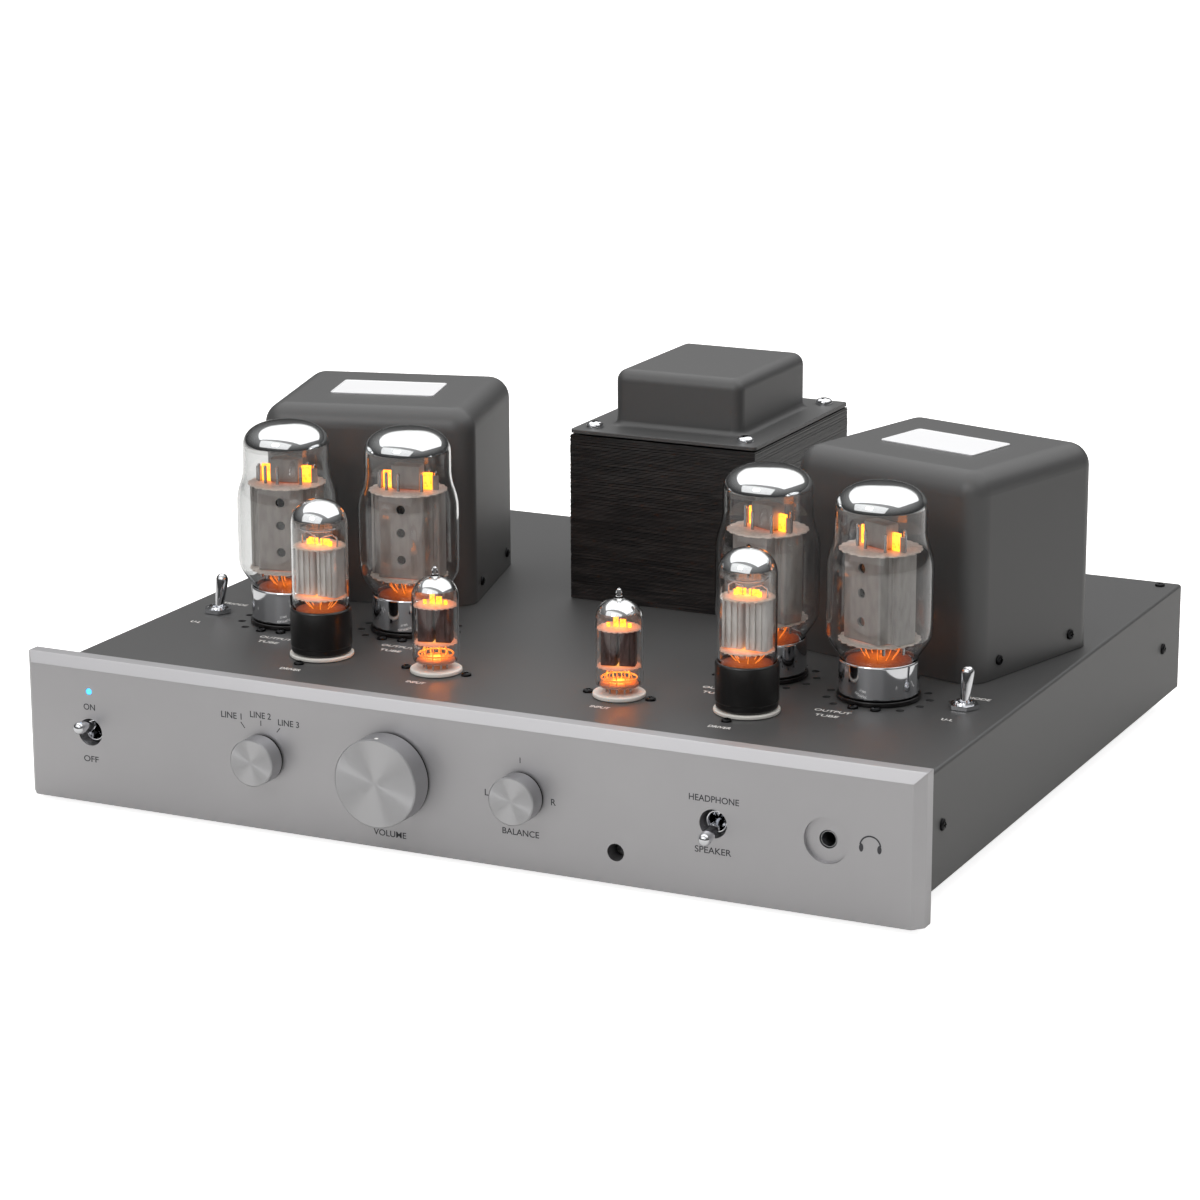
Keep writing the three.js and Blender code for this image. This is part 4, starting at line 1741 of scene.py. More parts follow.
@dataclass
class PowerTube(Tube):
    """Large output tube: chrome base, tall fluted anode and a wide bulb."""

    kind: str = "power_tube"
    bulb: Bulb = Bulb(
        ((17.3, 17.6), (17.6, 19.4), (24.2, 28.5), (24.7, 33), (24.7, 66), (21.3, 75.5), (21.3, 88.5)),
        101.7,
        2.5,
        5.0,
    )
    base_radius: float = 18.8
    anode: tuple[float, float] = (28.9, 70.4)
    mica: float = 19.2
    mirror: float = 90.5

    def build(self) -> list[bpy.types.Object]:
        """Build the socket, base, bulb, getter and electrodes.

        Returns:
            The pieces.
        """
        low = node_box(self.node("socket"))[0].z - DECK
        socket = soften([(0, low), (15.6, low), (15.6, 0.35), (19.6, 0.35), (19.6, 2.5), (0, 2.5)], 0.5)
        pieces = [
            self.part("base_ring", Form().lathe(socket, 72), Stock.PHENOLIC, "base_phenolic", "socket")
        ]
        r = self.base_radius
        rim = [(0, 2.9), (r - 0.6, 2.9), (r, 3.5), (r, 18.4), (r - 0.4, 19.1), (r - 0.9, 19.1)]
        rim += [(r - 1.3, 17.2), (0, 17.2)]
        pieces.append(
            self.part("band", Form().lathe(soften(rim, 0.35), 96), Stock.CHROME, "base_chrome", "base")
        )
        pieces.append(self.part("bulb", self.bulb.shell(), Stock.GLASS, "tube_glass", "envelope"))
        film = self.bulb.film(self.mirror - 6)
        pieces.append(
            self.part("getter", film, GetterFlash("power_getter", self.mirror, 6.0), "tube_glass")
        )
        return pieces + self.electrodes()

    def electrodes(self) -> list[bpy.types.Object]:
        """Build the anode, micas, supports, heater glow and lead wires.

        Returns:
            The pieces.
        """
        low, high = self.anode
        side = [
            (10.9, -12), (11.7, -11.4), (11.9, -6.6), (12.7, -5.9), (14.1, -5.9), (14.6, -5.1), (15.6, -5.1)
        ]
        side += [(16.1, -5.7), (17.2, -5.4), (17.6, -4.6)]
        side += [(x, -y) for x, y in side[::-1]]
        outline = side + [(-x, -y) for x, y in side]
        anode = Form().prism(outline, low, high)
        drills = Form()
        # painted shade: dark discs at the foot of the blind holes stand in for the shade inside a hollow
        # anode
        painted_hole_shade = Form()
        for z in (38.0, 51.5, 63.0):
            for sy in (-1, 1):
                drills.rod(2.3, -1.6, 3, 24, facing((0, sy * 12, z), (0, sy, 0)))
                painted_hole_shade.rod(2.28, -1.6, -1.2, 24, facing((0, sy * 12, z), (0, sy, 0)))
        anode.cut_by(drills)
        pieces = [self.part("anode", anode, Stock.ANODE, "electrode_nickel", crease=30)]
        pieces.append(self.part("anode_windows", painted_hole_shade, Stock.DARK_WINDOW, "electrode_nickel"))
        mica = Form()
        mica.prism(toothed(self.mica, 22, 0.9), high + 0.3, high + 0.9)
        mica.prism(toothed(self.mica, 22, 0.9), low - 0.9, low - 0.3)
        # painted light: the micas glow orange as emission for the heaters' light on them
        lit = PaintedHeaterGlow("power_mica_painted_glow", "#e6d9cf", "#ffae45", "#c8521c", 16.0, 0.7)
        pieces.append(self.part("micas", mica, lit, "electrode_nickel", crease=20))
        hood = Form().box((-7.3, -4.2, high + 1.2), (7.3, 4.2, high + 13)).ease_edges(0.8, 2)
        hood.box((-15.6, -0.5, high + 1), (-11.4, 0.5, high + 8)).box(
            (11.4, -0.5, high + 1), (15.6, 0.5, high + 8)
        )
        pieces.append(self.part("hood", hood, Stock.ANODE, "electrode_nickel", crease=30))
        hot = Form()
        for sx in (-1, 1):
            hot.box((sx * 10.2 - 2.5, -0.8, high + 1.0), (sx * 10.2 + 2.5, 0.8, high + 9.4))
            hot.rod(1.4, low - 2.6, low - 1.1, 16, shift(sx * 4.0, 0, 0))
        pieces.append(self.part("heaters", hot.ease_edges(0.3, 1), HOT, "electrode_nickel"))
        rods = Form()
        for x, y in ((-13.5, -2), (13.5, 2), (-9.0, -6), (9.0, 6), (9.0, -6), (-2.5, -7.4), (2.5, 7.4)):
            tip = dome(0.8, high + 9, high + 9.8, 2, 4)
            rods.lathe([(0, low - 6), (0.8, low - 6), *tip], 14, shift(x, y, 0))
        pieces.append(self.part("supports", rods, Stock.STEEL, "electrode_nickel"))
        return pieces + self.press(low)

    def press(self, low: float) -> list[bpy.types.Object]:
        """Build the glass foot and the leads that fan out of it, both given a painted heater glow.

        Args:
            low: Height of the anode's lower edge.

        Returns:
            The foot and the leads.
        """
        foot = Form().lathe([(0, 17.4), (15.5, 17.4), (15.0, 18.4), (9.5, 19.2), (3, 19.8), (0, 19.8)], 48)
        # painted light: the glass foot glows orange as emission for the heaters' light on it
        lit = PaintedHeaterGlow("power_foot_painted_glow", "#3a2c24", "#e8701c", "#a33c0e", 19.0, 0.55)
        leads = Form()
        for i in range(10):
            a = 2 * math.pi * (i + 0.3) / 10
            c, s = math.cos(a), math.sin(a)
            path = [
                (7 * c, 5 * s, 18.5),
                (8.5 * c, 6 * s, 21.5),
                (12.5 * c, 8 * s, 23.5),
                (12.5 * c, 8 * s, low - 1),
            ]
            leads.wire(soften_path(path), 0.24, 6)
        return [
            self.part("foot", foot, lit, "electrode_nickel"),
            self.part("leads", leads, LIT_LEADS, "electrode_nickel"),
        ]


@dataclass
class DriverTube(Tube):
    """Octal driver: tall phenolic base, ribbed plates and a straight bulb."""

    kind: str = "driver_tube"
    bulb: Bulb = Bulb(((12.7, 22.5), (13.2, 24.6), (13.7, 27.5), (13.7, 64)), 77.0, 2.3, 2.0)
    plate: tuple[float, float] = (30.5, 53.8)
    mica: float = 12.7
    mirror: float = 67.5

    def build(self) -> list[bpy.types.Object]:
        """Build the ceramic ring, base, bulb, getter and electrodes.

        Returns:
            The pieces.
        """
        low = node_box(self.node("socket"))[0].z - DECK
        ring = soften([(0, low), (12.9, low), (12.9, 0.3), (15.4, 0.3), (15.4, 2.0), (0, 2.0)], 0.5)
        pieces = [self.part("ceramic", Form().lathe(ring, 64), Stock.CERAMIC, "white_ceramic", "socket")]
        base = [(0, 2.4), (13.9, 2.4), (14.4, 3.2), (14.4, 5.6), (14.8, 6.2), (14.8, 23.4), (14.2, 24.3)]
        base += [(13.5, 24.3), (13.2, 22.2), (0, 22.2)]
        pieces.append(
            self.part("skirt", Form().lathe(soften(base, 0.4), 80), Stock.PHENOLIC, "base_phenolic", "base")
        )
        pieces.append(self.part("bulb", self.bulb.shell(), Stock.GLASS, "tube_glass", "envelope"))
        film = self.bulb.film(self.mirror - 4)
        pieces.append(
            self.part("getter", film, GetterFlash("driver_getter", self.mirror, 4.0), "tube_glass")
        )
        return pieces + self.electrodes()

    def electrodes(self) -> list[bpy.types.Object]:
        """Build the twin plates, micas, heaters and leads.

        Returns:
            The pieces.
        """
        low, high = self.plate
        plates = Form()
        for sx in (-1, 1):
            plates.skin([rounded_ring(5.2, 5.0, 1.6, z) for z in (low, high)], at=shift(sx * 5.9, 0, 0))
            for k in range(3):
                x = sx * 5.9 - 3.2 + k * 3
                for y in (-5.6, 5.6):
                    plates.box((x - 0.6, y - 0.7, low + 1), (x + 0.6, y + 0.7, high - 1))
        pieces = [self.part("plates", plates, Stock.DRIVER_ANODE, "electrode_nickel", crease=30)]
        mica = Form()
        mica.prism(toothed(self.mica, 26, 0.9), high + 0.4, high + 0.9)
        mica.prism(toothed(self.mica, 26, 0.9), low - 1.0, low - 0.5)
        # painted light: the micas glow orange as emission for the heaters' light on them
        lit = PaintedHeaterGlow("driver_mica_painted_glow", "#e6dacb", "#ffc25a", "#e8701f", 14.0, 1.3)
        pieces.append(self.part("micas", mica, lit, "electrode_nickel", crease=20))
        hot = Form()
        for sx in (-1, 1):
            spot = shift(sx * 5.9, 0, 0)
            hot.rod(1.0, high + 0.9, high + 3.2, 12, spot).rod(1.2, low - 2.4, low - 1.1, 12, spot)
            hot.box((sx * 3.2 - 2.4, -0.4, high + 1.2), (sx * 3.2 + 2.4, 0.4, high + 4.2))
        pieces.append(self.part("heaters", hot, HOT, "electrode_nickel"))
        top = Form()
        for sx in (-1, 1):
            for x in (2.2, 9.6):
                top.rod(0.45, high, high + 5.2, 10, shift(sx * x, 0, 0))
            top.wire([(sx * 9.6, 0, high + 5), (sx * 7, 0, high + 6.6), (sx * 2.2, 0, high + 5)], 0.4, 8)
        top.wire(circle(9, high + 9.5), 0.5, 8, True)
        pieces.append(self.part("getter_frame", top, Stock.STEEL, "electrode_nickel"))
        cup = Form().lathe([(0, 22.4), (12.4, 22.4), (12, 23.2), (6, 23.8), (0, 24.0)], 40)
        # painted light: the foot cup glows orange as emission for the heaters' light on it
        lit = PaintedHeaterGlow("driver_foot_painted_glow", "#3a2c24", "#e8701c", "#a33c0e", 16.0, 0.55)
        leads = Form()
        for i in range(8):
            a = 2 * math.pi * (i + 0.5) / 8
            c, s = math.cos(a), math.sin(a)
            path = [(4.5 * c, 3.5 * s, 23), (6 * c, 5 * s, 25), (9 * c, 7 * s, 27), (9 * c, 7 * s, low - 1)]
            leads.wire(soften_path(path), 0.28, 6)
        pieces.append(self.part("leads", leads, LIT_LEADS, "electrode_nickel"))
        return pieces + [self.part("foot", cup, lit, "electrode_nickel")]


@dataclass
class InputTube(Tube):
    """Small nine-pin tube standing on a ceramic socket, with a clear sealed tip."""

    kind: str = "input_tube"
    bulb: Bulb = Bulb(
        ((9.2, 5.6), (10.8, 5.8), (11.2, 8.0), (11.2, 36)),
        46.8,
        2.2,
        1.2,
        ((1.9, 46.9), (1.5, 48.0), (1.4, 49.6), (0.9, 51.0), (0.0, 51.6)),
    )
    plate: tuple[float, float] = (15.5, 32.4)
    mica: float = 10.3
    mirror: float = 39.8

    def build(self) -> list[bpy.types.Object]:
        """Build the ceramic socket, bulb, getter, pins and electrodes.

        Returns:
            The pieces.
        """
        low = node_box(self.node("socket"))[0].z - DECK
        ring = [(0, low), (10.2, low), (10.2, 0.3), (12.4, 0.3), (12.4, 1.9), (11.9, 2.3), (4.4, 2.3)]
        ring += [(4.0, 1.2), (0, 1.2)]
        pieces = [
            self.part(
                "ceramic", Form().lathe(soften(ring, 0.4), 64), Stock.CERAMIC, "white_ceramic", "socket"
            )
        ]
        pieces.append(self.part("bulb", self.bulb.shell(), Stock.GLASS, "tube_glass", "envelope"))
        film = self.bulb.film(self.mirror - 2.5)
        pieces.append(
            self.part("getter", film, GetterFlash("input_getter", self.mirror, 2.5), "tube_glass")
        )
        return pieces + self.electrodes()

    def electrodes(self) -> list[bpy.types.Object]:
        """Build the twin plates, micas, heaters, leads and glass button.

        Returns:
            The pieces.
        """
        low, high = self.plate
        plates = Form()
        for sx in (-1, 1):
            plates.skin([rounded_ring(3.7, 4.1, 1.2, z) for z in (low, high)], at=shift(sx * 4.3, 0, 0))
            plates.box((sx * 4.3 - 1.2, -4.8, low + 1), (sx * 4.3 + 1.2, 4.8, high - 1))
        pieces = [self.part("plates", plates, Stock.DARK_ANODE, "electrode_nickel", "stem", crease=30)]
        mica = Form()
        mica.prism(toothed(self.mica, 22, 0.9), high + 0.3, high + 0.8)
        mica.prism(toothed(self.mica, 22, 0.9), low - 0.8, low - 0.3)
        # painted light: the micas glow orange as emission for the heaters' light on them
        lit = PaintedHeaterGlow("input_mica_painted_glow", "#e6d5c8", "#ffc85e", "#e8701f", 12.5, 1.1)
        pieces.append(self.part("micas", mica, lit, "electrode_nickel", crease=20))
        hot = Form()
        hot.box((-2.6, -0.5, high + 0.9), (-0.3, 0.5, high + 6.2)).box(
            (0.5, -0.5, high + 0.9), (3.2, 0.5, high + 4.4)
        )
        for sx in (-1, 1):
            hot.rod(0.9, high + 0.8, high + 2.6, 12, shift(sx * 5.0, 0, 0))
            hot.rod(0.9, low - 2.6, low - 0.9, 12, shift(sx * 4.3, 0, 0))
        pieces.append(self.part("heaters", hot, HOT, "electrode_nickel"))
        button = Form().lathe([(0, 5.9), (9.2, 5.9), (9.2, 6.6), (8.4, 7.2), (0, 7.5)], 40)
        # painted light: the glass button glows orange as emission for the heaters' light on it
        clear = PaintedHeaterGlow("input_button_painted_glow", "#8c7062", "#f08a34", "#a8430f", 12.0, 0.5)
        pieces.append(self.part("button", button, clear, "tube_glass"))
        leads = Form()
        pins = Form()
        for i in range(9):
            a = math.radians(54 + 36 * i)
            c, s = math.cos(a), math.sin(a)
            path = [(5.95 * c, 5.95 * s, 7), (7.9 * c, 7.9 * s, 9.3), (5.4 * c, 4.9 * s, 12)]
            path.append((4.6 * c, 3.6 * s, low - 0.8))
            leads.wire(soften_path(path), 0.32, 6)
            pins.rod(0.5, 1.4, 6.2, 10, shift(5.95 * c, 5.95 * s, 0))
        leads.wire(circle(8.3, 9.2), 0.4, 8, True)
        pieces.append(self.part("leads", leads, LIT_LEADS, "electrode_nickel"))
        pieces.append(self.part("pins", pins, Stock.STEEL, "electrode_nickel"))
        return pieces


# ---- controls and fittings --------------------------------------------------------------


@dataclass
class ToggleSwitch:
    """Chrome bat-lever toggle with its threaded bushing.

    Attributes:
        name: Start of its node names.
        on_deck: Whether it stands on the deck, with a nut, instead of in the panel.
    """

    name: str
    on_deck: bool
    lean: float = 13.0
    bushing: float = 5.2
    mouth: float = 6.9
    nut: float = 7.4

    def build(self) -> list[bpy.types.Object]:
        """Build the case with its bushing, and the lever.

        Returns:
            The pieces.
        """
        pivot = joint_point(f"{self.name}_throw")
        lever_way = node_centre(f"{self.name}_lever") - pivot
        if self.on_deck:
            at, seat = shift(*pivot), 1.8
            tilt = math.copysign(self.lean, -lever_way.y)
        else:
            at, seat = facing(pivot, (0, -1, 0)), -1.5
            tilt = math.copysign(self.lean, -lever_way.z)
        case = Form().box((-6.5, -14, seat - 18), (6.5, 14, seat)).ease_edges(0.6, 2)
        barrel = [(0, seat - 0.9), (self.bushing, seat - 0.9)]
        z = seat
        while z < self.mouth - 0.9:
            barrel += [(self.bushing, z), (self.bushing - 0.3, z + 0.3)]
            z += 0.7
        barrel += [(self.bushing, self.mouth - 0.7), (self.bushing - 0.35, self.mouth), (4.5, self.mouth)]
        barrel += [(4.2, self.mouth - 0.4), (2.9, 0.6), (2.9, -1.2), (0, -1.2)]
        case.lathe(barrel, 48)
        if self.on_deck:
            hexagon = arc((0, 0), self.nut, 0, 300, 5)
            case.prism(hexagon, 4.0, 6.0)
        fit = Fit(slot="switch_chrome", nodes=(f"{self.name}_case",), crease=25.0)
        pieces = [make_piece(f"{self.name}_body", case, Stock.CHROME, fit, at)]
        tip = dome(3.05, 19.6, 23.0, 2.2, 8)
        bat = soften([(0, -2.3), (2.2, 0), (1.8, 2.2), (2.1, 6), (2.9, 16), (3.05, 19.6)], 1.2) + tip[1:]
        fit = Fit(body=f"{self.name}_lever", slot="switch_chrome", nodes=(f"{self.name}_lever",))
        lever = Form().lathe(bat, 40)
        lean = Matrix.Rotation(math.radians(tilt), 4, "X")
        pieces.append(make_piece(f"{self.name}_bat", lever, Stock.CHROME, fit, at @ lean))
        return pieces


@dataclass
class Knob:
    """Solid turned knob with its spindle.

    Attributes:
        name: Its node's name.
        reach: Its face's distance in front of the panel.
        dot: Whether it has a white index dot on its side.
    """

    name: str
    reach: float
    dot: bool = False
    gap: float = 0.9
    chamfer: float = 0.55

    def build(self) -> list[bpy.types.Object]:
        """Build the knob and its dot.

        Returns:
            The pieces.
        """
        low, high = node_box(self.name)
        middle = node_centre(self.name)
        radius, c = (high.x - low.x) / 2, self.chamfer
        at = front(middle.x, middle.z)
        turned = [(0, -22), (3, -22), (3, self.gap), (radius - 0.5, self.gap), (radius, self.gap + 0.5)]
        turned += [(radius, self.reach - c), (radius - c, self.reach)]
        turned += [(radius * k / 6, self.reach) for k in range(5, -1, -1)]
        fit = Fit(body=self.name, slot="knob_aluminium", nodes=(self.name,), crease=25.0)
        pieces = [make_piece(f"{self.name}_turned", Form().lathe(turned, 128), Stock.KNOB, fit, at)]
        # painted shade: a dark rubber ring fills the gap behind the knob, standing in for the shade in that
        # gap
        rim = radius - 0.25
        outline = [(3.2, 0.02), (rim, 0.02), (rim, 0.8), (3.2, 0.8), (3.2, 0.02)]
        painted_gap_shade = Form().lathe(soften(outline, 0.1), 64)
        pieces.append(
            make_piece(f"{self.name}_washer", painted_gap_shade, Stock.RUBBER, Fit(slot="black_plastic"), at)
        )
        if self.dot:
            spot = Form().rod(0.95, -0.4, 0.06, 24, facing((0, radius, self.reach - 2.6), (0, 1, 0)))
            fit = Fit(body=self.name, slot="knob_aluminium")
            pieces.append(make_piece(f"{self.name}_dot", spot, Stock.WHITE_INK, fit, at))
        return pieces


@dataclass
class FrontFittings:
    """Power lamp, headphone socket and remote sensor."""

    lamp_radius: float = 1.35
    sleeve: float = 3.85
    bore: float = 3.3

    def build(self) -> list[bpy.types.Object]:
        """Build the lamp, socket and sensor.

        Returns:
            The pieces.
        """
        lamp, socket, sensor = (node_centre(n) for n in ("power_led", "headphone_jack", "remote_sensor"))
        tip = dome(self.lamp_radius, -0.2, 0.7, 2, 8)
        lens = Form().lathe([(0, -20), (self.lamp_radius, -20), *tip], 32)
        glow = Lit("blue_lamp_lens", "#3ba4ff", 3.2)
        fit = Fit(slot="led_lens", nodes=("power_led",))
        pieces = [make_piece("lamp_lens", lens, glow, fit, front(lamp.x, lamp.z))]
        depth = -2.6
        sleeve = [
            (self.sleeve, -13),
            (self.sleeve, depth - 0.3),
            (self.sleeve - 0.3, depth),
            (self.bore + 0.1, depth),
        ]
        sleeve += [
            (self.bore, depth - 0.2),
            (self.bore, -38),
            (0, -38),
            (0, -40),
            (7, -40),
            (7, -13),
            (self.sleeve, -13),
        ]
        at = front(socket.x, socket.z)
        fit = Fit(slot="black_plastic", nodes=("headphone_jack",), crease=30.0)
        pieces.append(make_piece("headphone_socket", Form().lathe(sleeve, 48), Stock.STEEL, fit, at))
        eye = Form().lathe([(0, -22), (3.8, -22), (3.8, -8), *dome(3.8, -8, -6.6, 2, 6)[1:]], 40)
        fit = Fit(slot="black_plastic", nodes=("remote_sensor",))
        pieces.append(make_piece("sensor_window", eye, Stock.DARK_WINDOW, fit, front(sensor.x, sensor.z)))
        return pieces


@dataclass
class RearConnectors:
    """Mains inlet, loudspeaker posts and phono sockets on the rear wall."""

    post_x: tuple[float, ...] = (25.0, 42.0, 59.0, 76.0)
    phono_x: tuple[float, ...] = (-30.0, -10.0, 10.0, 30.0)
    phono_z: tuple[float, ...] = (-9.0, 9.0)

    def build(self) -> list[bpy.types.Object]:
        """Build the three groups.

        Returns:
            The pieces.
        """
        return [*self.inlet(), *self.posts(), *self.phono()]

    def rear(self, node: str) -> Matrix:
        """Frame on the rear wall at a node's centre: X to the amplifier's left, Y up, Z outwards."""
        middle = node_centre(node)
        return facing((middle.x, node_box("chassis_rear")[1].y + 0.3, middle.z), (0, 1, 0))

    def inlet(self) -> list[bpy.types.Object]:
        """Build the appliance inlet with its blades and fuse drawer.

        Returns:
            The pieces.
        """
        at = self.rear("mains_inlet")
        housing = Form().box((-20, -20, 0), (20, 20, 3)).ease_edges(0.8, 2)
        housing.box((-13.4, -16.9, -22), (13.4, 16.9, 0.5))
        socket = Form().prism([(-12, 3), (-12, -9), (-6, -15), (6, -15), (12, -9), (12, 3)], -19, 9)
        housing.cut_by(socket)
        housing.box((-10, 6, 2), (10, 16, 5))
        fit = Fit(slot="black_plastic", nodes=("mains_inlet",), crease=25.0, even=True)
        pieces = [make_piece("inlet_housing", housing, Stock.PLASTIC, fit, at)]
        blades = Form()
        for x, y in ((-7, -7), (0, -3), (7, -7)):
            blades.box((x - 1, y - 2, -20), (x + 1, y + 2, -3))
        pieces.append(
            make_piece(
                "inlet_blades", blades.ease_edges(0.3, 1), Stock.STEEL, Fit(slot="black_plastic"), at
            )
        )
        return pieces

    def posts(self) -> list[bpy.types.Object]:
        """Build the plate and eight binding posts, a red and black ring in turn.

        Returns:
            The pieces.
        """
        at = self.rear("speaker_terminals")
        plate = Form().box((-95, -15, 0), (95, 15, 1.6)).ease_edges(0.4, 1)
        metal, red, black = Form(), Form(), Form()
        reach = node_box("speaker_terminals")[1].y - node_box("chassis_rear")[1].y - 0.3
        for side in (-1, 1):
            for i, x in enumerate(self.post_x):
                spot = shift(side * x, 0, 0)
                collar = soften([(0, 1.7), (5.5, 1.7), (5.5, 3.4), (4.6, 3.8), (0, 3.8)], 0.3)
                (black if i == 0 else red).lathe(collar, 32, spot)
                plate.rod(3.0, -8, 1.0, 24, spot)
                rim = [(5.5 if k % 2 else 5.1) for k in range(36)]
                grip = [
                    (r * math.cos(k * math.pi / 18), r * math.sin(k * math.pi / 18))
                    for k, r in enumerate(rim)
                ]
                metal.prism(grip, 4.2, reach - 1.2, spot)
                cap = [(0, reach - 1.2), (4.8, reach - 1.2), (4.5, reach), (2.2, reach), (2.2, reach - 3)]
                metal.lathe([*cap, (0, reach - 3)], 32, spot)
        fit = Fit(slot="terminal_plastic", nodes=("speaker_terminals",), crease=25.0, even=True)
        pieces = [make_piece("terminal_plate", plate, Stock.PLASTIC, fit, at)]
        pieces.append(make_piece("post_nuts", metal, Stock.GOLD, Fit(slot="jack_brass", crease=25.0), at))
        pieces.append(make_piece("post_collars_red", red, Stock.RED_RING, Fit(slot="terminal_plastic"), at))
        pieces.append(
            make_piece("post_collars_black", black, Stock.PLASTIC, Fit(slot="terminal_plastic"), at)
        )
        return pieces

    def phono(self) -> list[bpy.types.Object]:
        """Build the plate and its eight phono sockets, red below and white above.

        Returns:
            The pieces.
        """
        at = self.rear("input_jacks")
        plate = Form().box((-42, -20, 0), (42, 20, 1.6)).ease_edges(0.4, 1)
        shells, red, white = Form(), Form(), Form()
        for z in self.phono_z:
            for x in self.phono_x:
                spot = shift(x, z, 0)
                plate.rod(4.0, -8, 1.0, 24, spot)
                (red if z < 0 else white).lathe(
                    soften([(0, 1.7), (6.0, 1.7), (6.0, 2.5), (0, 2.5)], 0.3), 32, spot
                )
                barrel = [(0, 2.6), (4.2, 2.6), (4.2, 9.6), (3.8, 10), (3.4, 10), (3.3, 9.6), (3.3, 3.2)]
                shells.lathe([*barrel, (1.6, 3.2), (1.6, 8.6), (1.2, 9), (0, 9)], 36, spot)
        fit = Fit(slot="jack_brass", nodes=("input_jacks",), crease=25.0, even=True)
        pieces = [make_piece("phono_plate", plate, Stock.PLASTIC, fit, at)]
        pieces.append(make_piece("phono_shells", shells, Stock.GOLD, Fit(slot="jack_brass"), at))
        pieces.append(make_piece("phono_rings_red", red, Stock.RED_RING, Fit(slot="black_plastic"), at))
        pieces.append(
            make_piece("phono_rings_white", white, Stock.WHITE_INK, Fit(slot="black_plastic"), at)
        )
        return pieces


# ---- lettering --------------------------------------------------------------------------


@dataclass(frozen=True)
class Word:
    """One printed word: its text, centre and width, in millimetres."""

    text: str
    x: float
    y: float
    width: float


